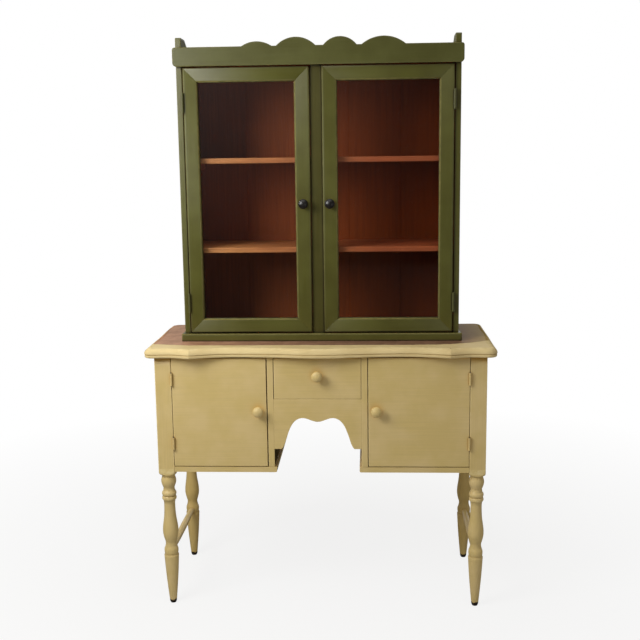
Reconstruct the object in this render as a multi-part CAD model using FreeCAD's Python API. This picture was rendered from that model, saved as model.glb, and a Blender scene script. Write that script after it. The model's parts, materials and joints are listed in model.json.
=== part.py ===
import FreeCAD, Part
import os

from FreeCAD import Vector

# A painted kitchen hutch: a glazed two-door cabinet that stands on a base with two cupboards,
# a drawer over a kneehole, a serpentine top and four turned legs.
# Sizes are in millimetres. X runs to the right, the front faces -Y and Z is up.
# The origin is on the floor under the middle of the whole outline.

# Stand: main sizes. The body's height runs from under the cupboards to under the top.
body_height = 332.0
top_thickness = 26.0
post_side = 46.0
post_spacing_x = 877.0
post_spacing_y = 342.0
end_overhang = 26.5
cusp_overhang = 34.0
back_panel_thickness = 5.0
board_thickness = 18.0
edge_rounding = 1.2
seat_gap = 0.3
cut_overrun = 5.0
match_tolerance = 0.01
arc_middle_share = 1 - 0.5 ** 0.5

# Stand: the serpentine top. The outline's points are shares of the cusps' distance from the
# middle and of the depth of the hollow between the middle bulge and a cusp.
cusp_distance = 358.0
hollow_depth = 24.0
front_curve_shares = ((0.0, 0.19), (0.15, 0.35), (0.31, 0.69), (0.46, 0.89),
                      (0.62, 1.0), (0.75, 0.92), (0.88, 0.54), (1.0, 0.0))
outer_hollow_share = 0.635
outer_hollow_set_back = 15.5
shoulder_set_back = 11.5
front_corner_reach = 26.0
front_corner_radius = 24.0
back_corner_radius = 30.0
nose_radius = 15.0
lower_fillet_height = 9.0
lower_fillet_set_back = 1.0
lower_fillet_rounding = 4.0
quirk_height = 1.5
quirk_set_back = 2.5

# Stand: turned legs. Heights are from the floor, radii from the leg's middle line.
foot_tip_radius = 7.5
foot_radius = 9.8
foot_rounding_height = 5.0
taper_top_height = 148.0
taper_top_radius = 21.0
taper_swell_height = 100.0
taper_swell_radius = 18.2
lower_bead_bottom = 151.0
lower_bead_top = 171.0
lower_bead_radius = 20.2
lower_bead_edge_radius = 18.0
lower_neck_height = 181.0
neck_radius = 15.6
vase_bottom_height = 188.0
vase_height = 214.0
vase_radius = 21.8
vase_shoulder_height = 262.0
vase_shoulder_radius = 17.6
upper_neck_height = 303.0
middle_bead_bottom = 314.0
middle_bead_parting = 327.0
middle_bead_top = 341.0
middle_bead_radius = 20.6
middle_bead_edge_radius = 17.0
cup_neck_height = 351.0
cup_height = 374.0
cup_radius = 21.2
cup_top_height = 386.0
cup_top_radius = 18.0
shoulder_start_height = 392.0
shoulder_start_radius = 21.2
shoulder_end_height = 412.0
shoulder_end_radius = 33.0
shoulder_bulge_share = 0.75

# Stand: side stretchers
stretcher_height = 160.0
stretcher_radius = 10.0
stretcher_end_radius = 7.5
stretcher_tenon_length = 16.0
stretcher_tenon_radius = 7.0
stretcher_tenon_clearance = 0.05

# Stand: carcass boards
end_panel_thickness = 12.0
end_panel_inset = 5.0
floor_rise = 12.0
floor_thickness = 15.5
floor_lip = 6.0
floor_lip_rounding = 4.0
wall_thickness = 17.0
bay_width = 245.0
bay_shift = -7.0
glue_block_side = 22.0
glue_block_length = 70.0
glue_block_end_distance = 60.0

# Stand: doors of the cupboards
door_gap = 2.0
left_door_free_gap = 4.5
right_door_free_gap = 3.0
door_bottom_gap = 2.5
door_top_gap = 4.0
stop_side = 14.0
stop_length = 50.0
cupboard_knob_lift = 161.0
cupboard_knob_inset = 21.0
cupboard_hinge_length = 36.0
cupboard_hinge_low_distance = 66.0
cupboard_hinge_high_distance = 59.0
cupboard_hinge_knuckles = 3

# Stand: drawer over the kneehole
drawer_front_height = 115.0
drawer_front_left_gap = 3.2
drawer_front_right_gap = 1.5
drawer_apron_gap = 1.0
drawer_side_thickness = 11.0
drawer_side_height = 90.0
drawer_side_lift = 2.0
drawer_length = 320.0
drawer_rebate_depth = 10.0
drawer_bottom_thickness = 5.0
drawer_bottom_lift = 8.0
drawer_groove_depth = 5.0
drawer_groove_clearance = 0.1
drawer_back_drop = 6.0
drawer_knob_lift = 66.0
runner_width = 18.0
runner_height = 20.0
runner_front_gap = 0.5

# Stand: apron. The arch's points are shares of the half width and of the arch's height.
apron_foot_lift = 52.5
apron_bridge_depth = 54.5
arch_foot_half_width = 102.0
arch_shares = ((1.0, 0.0), (0.955, 0.07), (0.88, 0.29), (0.80, 0.56),
               (0.71, 0.78), (0.60, 0.925), (0.42, 1.0), (0.22, 0.945), (0.0, 0.88))

# Knobs. Radii are from the knob's middle line, depths from the face that it stands on.
wood_knob_radius = 15.0
wood_knob_foot_radius = 9.5
wood_knob_neck_radius = 7.5
wood_knob_neck_depth = 7.5
wood_knob_widest_depth = 18.5
wood_knob_depth = 28.0
black_knob_radius = 14.0
black_knob_foot_radius = 9.0
black_knob_neck_radius = 6.5
black_knob_neck_depth = 8.0
black_knob_widest_depth = 18.0
black_knob_depth = 27.0
spigot_radius = 4.0
spigot_length = 11.0
spigot_clearance = 0.05

# Hinges. The leaves lie in the gap beside the door, and the barrel stands in front of its face.
barrel_radius = 3.5
barrel_stand_off = 0.5
pin_radius = 1.5
pin_clearance = 0.05
pin_head_radius = 2.4
pin_head_height = 1.4
knuckle_clearance = 0.3
leaf_play = 0.4
leaf_depth = 15.0

# Cabinet: main sizes. The opening's height and the shelves' lifts start on the base board.
cabinet_width = 784.0
side_thickness = 16.0
cabinet_depth = 278.0
cabinet_opening_height = 745.0
cabinet_back_inset = 4.0
base_board_thickness = 22.0
base_board_projection = 16.0
base_board_end_overhang = 8.5
base_board_rounding = 6.0
middle_stile_width = 32.0
middle_stile_thickness = 20.0
cabinet_middle_shift = -7.0
top_board_thickness = 18.0
top_board_lift = 2.0
back_board_thickness = 10.0
back_board_count = 5
back_board_gap = 1.0
shelf_thickness = 15.0
lower_shelf_lift = 229.0
upper_shelf_lift = 481.0
cleat_width = 12.0
cleat_height = 18.0
cleat_front_set_back = 12.0

# Cabinet: crest board. The scallops are shares of its half width and of their rise.
crest_height = 51.0
crest_thickness = 18.0
crest_end_overhang = 6.0
crest_lower_corner_radius = 10.0
crest_upper_corner_radius = 7.0
crest_rise = 22.5
crest_shares = ((-0.521, -0.313, 0.55), (-0.282, -0.013, 1.0),
                (0.041, 0.269, 0.98), (0.303, 0.603, 0.94))

# Cabinet: ears, where the side boards rise behind the crest board
ear_rise = 28.0
ear_flat_depth = 56.0
ear_sweep_depth = 145.0
ear_sweep_middle_share = 0.45
ear_sweep_drop_share = 0.68
gallery_drop = 12.0
ear_corner_radius = 5.0

# Cabinet: glazed doors
glazed_door_thickness = 20.0
glazed_door_proud = 8.0
glazed_door_gap = 2.5
glazed_door_bottom_gap = 2.5
glazed_door_top_gap = 2.0
frame_width = 41.0
frame_arris_radius = 2.5
frame_chamfer = 3.5
lip_thickness = 9.0
rebate_width = 9.0
glass_thickness = 3.0
glass_edge_clearance = 1.0
bead_width = 8.0
glazed_knob_lift = 365.0
glazed_knob_inset = 18.5
glazed_hinge_length = 52.0
glazed_hinge_low_distance = 86.0
glazed_hinge_high_distance = 95.0
glazed_hinge_knuckles = 5

# Places that follow from the sizes above
top_depth = cusp_overhang + post_side + post_spacing_y + back_panel_thickness
front_line = -top_depth / 2
back_line = top_depth / 2
stand_face = front_line + cusp_overhang
front_leg_y = stand_face + post_side / 2
rear_leg_y = front_leg_y + post_spacing_y
stand_rear = rear_leg_y + post_side / 2
leg_x = post_spacing_x / 2
post_inner = leg_x - post_side / 2
post_outer = leg_x + post_side / 2
top_half_width = post_outer + end_overhang
floor_bottom = shoulder_start_height + floor_rise
floor_top = floor_bottom + floor_thickness
top_underside = floor_bottom + body_height
table_height = top_underside + top_thickness
board_rear = stand_face + board_thickness
bay_left = bay_shift - bay_width / 2
bay_right = bay_shift + bay_width / 2
wall_left_outer = bay_left - wall_thickness
wall_right_outer = bay_right + wall_thickness
panel_inner = post_outer - end_panel_inset - end_panel_thickness
door_bottom = floor_top + door_bottom_gap
door_top = top_underside - door_top_gap
drawer_front_bottom = door_top - drawer_front_height
drawer_side_bottom = drawer_front_bottom + drawer_side_lift
runner_top = drawer_side_bottom - seat_gap
runner_bottom = runner_top - runner_height
apron_top = drawer_front_bottom - drawer_apron_gap
apron_bottom = floor_top + apron_foot_lift
arch_height = apron_top - apron_bridge_depth - apron_bottom

cabinet_back = back_line - cabinet_back_inset
cabinet_face = cabinet_back - cabinet_depth
cabinet_half = cabinet_width / 2
cabinet_inner = cabinet_half - side_thickness
base_top = table_height + base_board_thickness
back_board_front = cabinet_back - back_board_thickness
crest_bottom = base_top + cabinet_opening_height
crest_top = crest_bottom + crest_height
crest_front = cabinet_face - crest_thickness
gallery_top = crest_top - gallery_drop
ear_top = crest_top + ear_rise
top_board_bottom = crest_bottom + top_board_lift
glazed_face = cabinet_face - glazed_door_proud
glazed_bottom = base_top + glazed_door_bottom_gap
glazed_top = crest_bottom - glazed_door_top_gap
stile_rear = cabinet_face + middle_stile_thickness
middle_left = cabinet_middle_shift - middle_stile_width / 2
middle_right = cabinet_middle_shift + middle_stile_width / 2
shelf_front = stile_rear
lower_shelf_bottom = base_top + lower_shelf_lift
upper_shelf_bottom = base_top + upper_shelf_lift


def box(x0, x1, y0, y1, z0, z1):
    """A block between two corners."""
    return Part.makeBox(x1 - x0, y1 - y0, z1 - z0, Vector(x0, y0, z0))


def mirror_x(shape):
    """The same piece on the other side of the middle plane."""
    return shape.mirror(Vector(0, 0, 0), Vector(1, 0, 0))


def rounded(shape, radius, wanted):
    """Round each edge whose middle point the test named wanted accepts."""
    edges = [edge for edge in shape.Edges if wanted(edge.CenterOfMass, edge)]
    return shape.makeFillet(radius, edges)


def near(first, second):
    """Whether two coordinates are the same."""
    return abs(first - second) < match_tolerance


def front_rounded(shape, face_y, radius=edge_rounding):
    """Round the outer edges of a board's front face."""
    front = lambda middle, edge: all(near(v.Point.y, face_y) for v in edge.Vertexes)
    return rounded(shape, radius, front)


def face_of(edges):
    """The flat face inside a closed row of edges."""
    return Part.Face(Part.Wire(Part.__sortEdges__(edges)))


def arc(start, middle, end):
    """A round edge through three points."""
    return Part.Arc(start, middle, end).toShape()


def curve(points, first_tangent=None, last_tangent=None):
    """A smooth edge through several points."""
    spline = Part.BSplineCurve()
    if first_tangent is None:
        spline.interpolate(Points=points)
    else:
        spline.interpolate(Points=points, InitialTangent=first_tangent, FinalTangent=last_tangent)
    return spline.toShape()


def turned(profile):
    """A solid of revolution about Z from a row of edges in the XZ plane that ends on the axis."""
    bottom = profile[0].firstVertex().Point
    top = profile[-1].lastVertex().Point
    return face_of(profile + [Part.makeLine(top, bottom)]).revolve(Vector(0, 0, 0), Vector(0, 0, 1), 360)


# Table top

def top_outline(set_back):
    """The plan of the table top, drawn in from the widest outline at the front and the ends."""
    half = top_half_width - set_back
    line = front_line + set_back
    scale = cusp_distance
    right = [Vector(scale * along, line + hollow_depth * back, 0) for along, back in front_curve_shares]
    left = [Vector(-p.x, p.y, 0) for p in right[:0:-1]]
    cusp = right[-1]
    shoulder = Vector(top_half_width - front_corner_reach, line + shoulder_set_back, 0)
    hollow_distance = cusp.x + (shoulder.x - cusp.x) * outer_hollow_share
    hollow = Vector(hollow_distance, line + outer_hollow_set_back, 0)
    corner = Vector(half, shoulder.y + front_corner_radius, 0)
    front_turn = front_corner_radius * arc_middle_share
    back_turn = back_corner_radius * arc_middle_share
    corner_middle = Vector(half - (half - shoulder.x) * arc_middle_share, shoulder.y + front_turn, 0)
    back_start = Vector(half, back_line - back_corner_radius, 0)
    back_middle = Vector(half - back_turn, back_line - back_turn, 0)
    back_end = Vector(half - back_corner_radius, back_line, 0)
    half_edges = [
        curve([cusp, hollow, shoulder], hollow - cusp, Vector(1, 0, 0)),
        curve([shoulder, corner_middle, corner], Vector(1, 0, 0), Vector(0, 1, 0)),
        Part.makeLine(corner, back_start),
        arc(back_start, back_middle, back_end),
    ]
    edges = [curve(left + right)] + half_edges + [mirror_x(edge) for edge in half_edges]
    edges.append(Part.makeLine(back_end, Vector(-back_end.x, back_end.y, 0)))
    return edges


def top_layer(set_back, bottom, top):
    """One level of the table top's moulded edge."""
    layer = face_of(top_outline(set_back)).extrude(Vector(0, 0, top - bottom))
    layer.translate(Vector(0, 0, bottom))
    return layer


def table_top():
    """The serpentine board with its nose, quirk and lower fillet."""
    quirk_bottom = top_underside + lower_fillet_height
    quirk_top = quirk_bottom + quirk_height
    nose = top_layer(0, quirk_top, table_height)
    upper_edge = lambda middle, edge: near(middle.z, table_height) and middle.y < back_line - edge_rounding
    nose = rounded(nose, nose_radius, upper_edge)
    quirk = top_layer(quirk_set_back, quirk_bottom, quirk_top)
    lower = top_layer(lower_fillet_set_back, top_underside, quirk_bottom)
    lower_edge = lambda middle, edge: near(middle.z, top_underside) and middle.y < back_line - edge_rounding
    lower = rounded(lower, lower_fillet_rounding, lower_edge)
    return nose.fuse([quirk, lower])


# Turned legs

def bead(bottom, top, edge_radius, widest):
    """A half-round ring on a turned piece."""
    middle = (bottom + top) / 2
    return arc(Vector(edge_radius, 0, bottom), Vector(widest, 0, middle), Vector(edge_radius, 0, top))


def turned_leg():
    """One leg with its square post, standing at the origin."""
    parting = middle_bead_parting
    foot_edge = Vector(foot_radius, 0, foot_rounding_height)
    taper_top = Vector(taper_top_radius, 0, taper_top_height)
    lower_neck = Vector(neck_radius, 0, lower_neck_height)
    vase_bottom = Vector(neck_radius, 0, vase_bottom_height)
    vase = Vector(vase_radius, 0, vase_height)
    vase_shoulder = Vector(vase_shoulder_radius, 0, vase_shoulder_height)
    upper_neck = Vector(neck_radius, 0, upper_neck_height)
    cup_neck = Vector(neck_radius, 0, cup_neck_height)
    cup = Vector(cup_radius, 0, cup_height)
    cup_top = Vector(cup_top_radius, 0, cup_top_height)
    collar = Vector(shoulder_start_radius, 0, shoulder_start_height)
    post_inside = Vector(shoulder_start_radius, 0, shoulder_end_height)
    profile = [
        Part.makeLine(Vector(0, 0, 0), Vector(foot_tip_radius, 0, 0)),
        Part.makeLine(Vector(foot_tip_radius, 0, 0), foot_edge),
        curve([foot_edge, Vector(taper_swell_radius, 0, taper_swell_height), taper_top]),
        Part.makeLine(taper_top, Vector(lower_bead_edge_radius, 0, lower_bead_bottom)),
        bead(lower_bead_bottom, lower_bead_top, lower_bead_edge_radius, lower_bead_radius),
        Part.makeLine(Vector(lower_bead_edge_radius, 0, lower_bead_top), lower_neck),
        Part.makeLine(lower_neck, vase_bottom),
        curve([vase_bottom, vase, vase_shoulder, upper_neck]),
        Part.makeLine(upper_neck, Vector(middle_bead_edge_radius, 0, middle_bead_bottom)),
        bead(middle_bead_bottom, parting, middle_bead_edge_radius, middle_bead_radius),
        bead(parting, middle_bead_top, middle_bead_edge_radius, middle_bead_radius),
        Part.makeLine(Vector(middle_bead_edge_radius, 0, middle_bead_top), cup_neck),
        curve([cup_neck, cup, cup_top]),
        Part.makeLine(cup_top, collar),
        Part.makeLine(collar, post_inside),
        Part.makeLine(post_inside, Vector(0, 0, shoulder_end_height)),
    ]
    turning = turned(profile)
    half = post_side / 2
    post = box(-half, half, -half, half, shoulder_start_height, top_underside)
    bulge_reach = (shoulder_end_radius - shoulder_start_radius) * shoulder_bulge_share
    bulge = Vector(shoulder_start_radius + bulge_reach, 0, (shoulder_start_height + shoulder_end_height) / 2)
    shoulder = turned([
        Part.makeLine(Vector(0, 0, shoulder_start_height), collar),
        arc(collar, bulge, Vector(shoulder_end_radius, 0, shoulder_end_height)),
        Part.makeLine(Vector(shoulder_end_radius, 0, shoulder_end_height),
                      Vector(shoulder_end_radius, 0, top_underside)),
        Part.makeLine(Vector(shoulder_end_radius, 0, top_underside), Vector(0, 0, top_underside)),
    ])
    return turning.fuse(post.common(shoulder)).removeSplitter()


def leg_at(x, y, toward_rear):
    """A leg in its place, with the mortise for its stretcher's tenon."""
    leg = turned_leg()
    leg.translate(Vector(x, y, 0))
    direction = 1 if toward_rear else -1
    start = Vector(x, y + direction * (lower_bead_radius + cut_overrun), stretcher_height)
    depth = cut_overrun + lower_bead_radius - stretcher_tenon_inner()
    radius = stretcher_tenon_radius + stretcher_tenon_clearance
    return leg.cut(Part.makeCylinder(radius, depth, start, Vector(0, -direction, 0)))


def stretcher_tenon_inner():
    """How near the leg's middle line the bottom of the mortise comes."""
    return lower_bead_radius - stretcher_tenon_length


def stretcher(x):
    """A round side stretcher, slimmer at its ends, with a tenon into each leg."""
    half = post_spacing_y / 2
    tenon_end = half - stretcher_tenon_inner() - seat_gap
    shoulder = half - lower_bead_radius - seat_gap
    ends = [Vector(stretcher_tenon_radius, 0, shoulder), Vector(stretcher_end_radius, 0, shoulder)]
    belly = [Vector(stretcher_end_radius, 0, -shoulder), Vector(stretcher_radius, 0, 0), ends[1]]
    bar = turned([
        Part.makeLine(Vector(0, 0, -tenon_end), Vector(stretcher_tenon_radius, 0, -tenon_end)),
        Part.makeLine(Vector(stretcher_tenon_radius, 0, -tenon_end),
                      Vector(stretcher_tenon_radius, 0, -shoulder)),
        Part.makeLine(Vector(stretcher_tenon_radius, 0, -shoulder), belly[0]),
        arc(*belly),
        Part.makeLine(ends[1], ends[0]),
        Part.makeLine(ends[0], Vector(stretcher_tenon_radius, 0, tenon_end)),
        Part.makeLine(Vector(stretcher_tenon_radius, 0, tenon_end), Vector(0, 0, tenon_end)),
    ])
    bar.rotate(Vector(0, 0, 0), Vector(1, 0, 0), 90)
    bar.translate(Vector(x, (front_leg_y + rear_leg_y) / 2, stretcher_height))
    return bar


# Carcass of the stand

def end_panel():
    """The board between the two right-hand posts."""
    return box(panel_inner, panel_inner + end_panel_thickness,
               front_leg_y + post_side / 2, rear_leg_y - post_side / 2, floor_bottom, top_underside)


def cupboard_floor(inner_end):
    """The board under one cupboard, notched round its two posts, with a rounded inner end."""
    outer_end = panel_inner if inner_end > 0 else -panel_inner
    x0, x1 = sorted((inner_end, outer_end))
    board = box(x0, x1, stand_face, stand_rear, floor_bottom, floor_top)
    lip_edge = lambda middle, edge: near(middle.x, inner_end) and near(middle.z, floor_bottom)
    board = rounded(board, floor_lip_rounding, lip_edge)
    for y in (front_leg_y, rear_leg_y):
        near_x, far_x = sorted((post_inner, post_outer))
        notch = box(near_x, far_x, y - post_side / 2, y + post_side / 2, floor_bottom, floor_top)
        board = board.cut(notch if inner_end > 0 else mirror_x(notch))
    return board


def kneehole_wall(x0):
    """An upright board between a cupboard and the kneehole."""
    wall = box(x0, x0 + wall_thickness, stand_face, stand_rear, floor_top, top_underside)
    return front_rounded(wall, stand_face)


def stand_back():
    """The thin back of the stand, open behind the kneehole."""
    back = box(-post_outer, post_outer, stand_rear, back_line, floor_bottom, top_underside)
    opening = box(bay_left, bay_right, stand_rear - cut_overrun, back_line + cut_overrun,
                  floor_bottom - cut_overrun, runner_bottom)
    return back.cut(opening)


def apron():
    """The shaped board under the drawer."""
    def arch_point(across, up):
        return Vector(bay_shift + across * arch_foot_half_width, stand_face, apron_bottom + up * arch_height)

    right = [arch_point(across, up) for across, up in arch_shares]
    left = [arch_point(-across, up) for across, up in arch_shares[-2::-1]]
    corners = [Vector(bay_left, stand_face, apron_bottom), Vector(bay_left, stand_face, apron_top),
               Vector(bay_right, stand_face, apron_top), Vector(bay_right, stand_face, apron_bottom)]
    edges = [curve(right + left), Part.makeLine(left[-1], corners[0]), Part.makeLine(right[0], corners[3])]
    edges += [Part.makeLine(first, second) for first, second in zip(corners, corners[1:])]
    return face_of(edges).extrude(Vector(0, board_thickness, 0))


def glue_blocks():
    """Blocks glued under the top, along the end panels and the kneehole walls."""
    blocks = []
    bottom = top_underside - glue_block_side
    for x in (-panel_inner, wall_left_outer - glue_block_side, wall_right_outer,
              panel_inner - glue_block_side):
        for y in (front_leg_y + glue_block_end_distance,
                  rear_leg_y - glue_block_end_distance - glue_block_length):
            blocks.append(box(x, x + glue_block_side, y, y + glue_block_length, bottom, top_underside))
    return Part.makeCompound(blocks)


def door_stops():
    """A small block on the outer face of each kneehole wall, behind the door's free edge."""
    y0 = board_rear + seat_gap
    z0 = (door_bottom + door_top - stop_length) / 2
    left = box(wall_left_outer - stop_side, wall_left_outer, y0, y0 + stop_side, z0, z0 + stop_length)
    right = box(wall_right_outer, wall_right_outer + stop_side, y0, y0 + stop_side, z0, z0 + stop_length)
    return Part.makeCompound([left, right])


def drawer_runners():
    """The two strips that carry the drawer's sides."""
    y0 = board_rear + runner_front_gap
    left = box(bay_left, bay_left + runner_width, y0, stand_rear, runner_bottom, runner_top)
    right = box(bay_right - runner_width, bay_right, y0, stand_rear, runner_bottom, runner_top)
    return Part.makeCompound([left, right])


# Knobs

def knob(radius, base_radius, waist_radius, waist_depth, widest_depth, depth):
    """A turned knob that stands on the XY plane with its spigot below it."""
    base = Vector(base_radius, 0, 0)
    waist = Vector(waist_radius, 0, waist_depth)
    widest = Vector(radius, 0, widest_depth)
    crown = Vector(0, 0, depth)
    return turned([
        Part.makeLine(Vector(0, 0, -spigot_length), Vector(spigot_radius, 0, -spigot_length)),
        Part.makeLine(Vector(spigot_radius, 0, -spigot_length), Vector(spigot_radius, 0, 0)),
        Part.makeLine(Vector(spigot_radius, 0, 0), base),
        curve([base, waist], Vector(-1, 0, 0) * waist_depth, Vector(0, 0, 1) * waist_depth),
        curve([waist, widest], Vector(1, 0, 0) * waist_depth, Vector(0, 0, 1) * waist_depth),
        curve([widest, crown], Vector(0, 0, 1) * radius, Vector(-1, 0, 0) * radius),
    ])


def wood_knob():
    """A painted wooden knob."""
    return knob(wood_knob_radius, wood_knob_foot_radius, wood_knob_neck_radius, wood_knob_neck_depth,
                wood_knob_widest_depth, wood_knob_depth)


def black_knob():
    """A black knob for a glazed door."""
    return knob(black_knob_radius, black_knob_foot_radius, black_knob_neck_radius,
                black_knob_neck_depth, black_knob_widest_depth, black_knob_depth)


def placed_knob(shape, x, face_y, z):
    """A knob turned to face the front, standing on a front face."""
    shape.rotate(Vector(0, 0, 0), Vector(1, 0, 0), 90)
    shape.translate(Vector(x, face_y, z))
    return shape


def spigot_hole(x, face_y, z):
    """The hole that a knob's spigot goes into."""
    start = Vector(x, face_y - cut_overrun, z)
    depth = cut_overrun + spigot_length + seat_gap
    return Part.makeCylinder(spigot_radius + spigot_clearance, depth, start, Vector(0, 1, 0))


# Hinges

def barrel_part(start, end):
    """A length of hinge barrel round the pin's line."""
    outer = Part.makeCylinder(barrel_radius, end - start, Vector(0, 0, start))
    bore = Part.makeCylinder(pin_radius + pin_clearance, end - start, Vector(0, 0, start))
    return outer.cut(bore)


def leaf(length, knuckles, gap, first):
    """One leaf on the +X side of the pin, with every second knuckle from the one named first."""
    thickness = (gap - leaf_play) / 2
    inner, outer = leaf_play / 2, leaf_play / 2 + thickness
    face = barrel_radius + barrel_stand_off
    clear = barrel_radius + knuckle_clearance
    pitch = length / knuckles
    solids = [box(inner, outer, clear, face + leaf_depth, 0, length)]
    for index in range(first, knuckles, 2):
        start = index * pitch + (knuckle_clearance / 2 if index > 0 else 0)
        end = (index + 1) * pitch - (knuckle_clearance / 2 if index < knuckles - 1 else 0)
        solids.append(barrel_part(start, end))
        neck = box(inner, outer, 0, clear, start, end)
        solids.append(neck.cut(Part.makeCylinder(pin_radius + pin_clearance, length)))
    return solids[0].fuse(solids[1:]).removeSplitter()


def hinge_pin(length):
    """A pin with a small head at each end."""
    pin = Part.makeCylinder(pin_radius, length)
    heads = [Part.makeCylinder(pin_head_radius, pin_head_height, Vector(0, 0, z))
             for z in (-pin_head_height, length)]
    return pin.fuse(heads).removeSplitter()


def hinge_places(length, low_middle, high_middle):
    """The heights of the lower ends of a door's two hinges."""
    return (low_middle - length / 2, high_middle - length / 2)


def placed(shapes, x, y, heights, on_left):
    """Copies of a hinge piece on the pin's line, mirrored for a door that is hung on the left."""
    copies = []
    for z in heights:
        copy = shapes.copy() if on_left else mirror_x(shapes)
        copy.translate(Vector(x, y, z))
        copies.append(copy)
    return copies


def hinge_set(length, knuckles, gap, jamb_x, face_y, heights):
    """Fixed leaves, door leaves and pins of the hinges on the left and right jambs."""
    pin_x = jamb_x - gap / 2
    pin_y = face_y - barrel_radius - barrel_stand_off
    door_leaf = leaf(length, knuckles, gap, 1)
    fixed_leaf = mirror_x(leaf(length, knuckles, gap, 0))
    pin = hinge_pin(length)
    fixed, doors, pins = [], [], []
    for on_left in (True, False):
        x = -pin_x if on_left else pin_x
        fixed += placed(fixed_leaf, x, pin_y, heights, on_left)
        doors.append(Part.makeCompound(placed(door_leaf, x, pin_y, heights, on_left)))
        pins += placed(pin, x, pin_y, heights, on_left)
    return Part.makeCompound(fixed), doors, Part.makeCompound(pins)


# Drawer

def drawer():
    """The drawer's front, sides, back and bottom, by the names of their nodes."""
    front_x0 = bay_left + drawer_front_left_gap
    front_x1 = bay_right - drawer_front_right_gap
    side_top = drawer_side_bottom + drawer_side_height
    side_front = board_rear - drawer_rebate_depth
    side_rear = board_rear + drawer_length
    inner_x0 = front_x0 + drawer_side_thickness
    inner_x1 = front_x1 - drawer_side_thickness
    panel_z = drawer_side_bottom + drawer_bottom_lift
    panel_top = panel_z + drawer_bottom_thickness
    groove_top = panel_top + drawer_groove_clearance
    reach = drawer_groove_depth
    groove = box(inner_x0 - reach - drawer_groove_clearance, inner_x1 + reach + drawer_groove_clearance,
                 board_rear - reach, side_rear + cut_overrun, panel_z, groove_top)

    front = box(front_x0, front_x1, stand_face, board_rear, drawer_front_bottom, door_top)
    front = front_rounded(front, stand_face)
    for x0, x1 in ((front_x0 - cut_overrun, inner_x0), (inner_x1, front_x1 + cut_overrun)):
        front = front.cut(box(x0, x1, side_front, board_rear + cut_overrun,
                              drawer_front_bottom - cut_overrun, side_top))
    knob_x = bay_shift
    knob_z = drawer_front_bottom + drawer_knob_lift
    front = front.cut([groove, spigot_hole(knob_x, stand_face, knob_z)])

    side = box(front_x0, inner_x0, side_front, side_rear, drawer_side_bottom, side_top)
    other = box(inner_x1, front_x1, side_front, side_rear, drawer_side_bottom, side_top)
    back = box(inner_x0, inner_x1, side_rear - drawer_side_thickness, side_rear,
               groove_top, side_top - drawer_back_drop)
    panel = box(inner_x0 - reach, inner_x1 + reach, board_rear - reach + drawer_groove_clearance,
                side_rear, panel_z, panel_top)
    return {
        "drawer_front": front,
        "drawer_side_left": side.cut(groove),
        "drawer_side_right": other.cut(groove),
        "drawer_back": back,
        "drawer_bottom": panel,
        "drawer_knob": placed_knob(wood_knob(), knob_x, stand_face, knob_z),
    }


# Doors of the stand

def cupboard_door(x0, x1, knob_x):
    """A plain slab door with its knob."""
    slab = box(x0, x1, stand_face, board_rear, door_bottom, door_top)
    slab = front_rounded(slab, stand_face)
    knob_z = door_bottom + cupboard_knob_lift
    slab = slab.cut(spigot_hole(knob_x, stand_face, knob_z))
    return slab, placed_knob(wood_knob(), knob_x, stand_face, knob_z)


# Cabinet

def cabinet_base():
    """The cabinet's bottom board, which stands proud at the front and the ends."""
    half = cabinet_half + base_board_end_overhang
    front = cabinet_face - base_board_projection
    board = box(-half, half, front, cabinet_back, table_height, base_top)
    corners = lambda middle, edge: near(middle.y, front) and near(abs(middle.x), half)
    board = rounded(board, base_board_rounding, corners)
    upper = lambda middle, edge: near(middle.z, base_top) and middle.y < cabinet_back - edge_rounding
    return rounded(board, base_board_rounding / 2, upper)


def cabinet_side():
    """The right side board, whose front corner rises as an ear behind the crest board."""
    x0 = cabinet_inner
    flat_end = cabinet_face + ear_flat_depth
    sweep_end = flat_end + ear_sweep_depth
    drop = ear_top - gallery_top
    sweep_middle = Vector(x0, flat_end + ear_sweep_depth * ear_sweep_middle_share,
                          ear_top - drop * ear_sweep_drop_share)
    points = [Vector(x0, back_board_front, gallery_top), Vector(x0, back_board_front, base_top),
              Vector(x0, cabinet_face, base_top), Vector(x0, cabinet_face, ear_top),
              Vector(x0, flat_end, ear_top)]
    edges = [Part.makeLine(first, second) for first, second in zip(points, points[1:])]
    edges.append(arc(points[-1], sweep_middle, Vector(x0, sweep_end, gallery_top)))
    edges.append(Part.makeLine(Vector(x0, sweep_end, gallery_top), points[0]))
    side = face_of(edges).extrude(Vector(side_thickness, 0, 0))
    ear = lambda middle, edge: near(middle.z, ear_top) and near(middle.y, cabinet_face)
    return rounded(side, ear_corner_radius, ear)


def back_boards():
    """Upright boards that close the cabinet's back."""
    pitch = cabinet_width / back_board_count
    gap = back_board_gap / 2
    starts = [-cabinet_half + index * pitch for index in range(back_board_count)]
    boards = [box(x + gap, x + pitch - gap, back_board_front, cabinet_back, base_top, gallery_top)
              for x in starts]
    return Part.makeCompound(boards)


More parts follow.
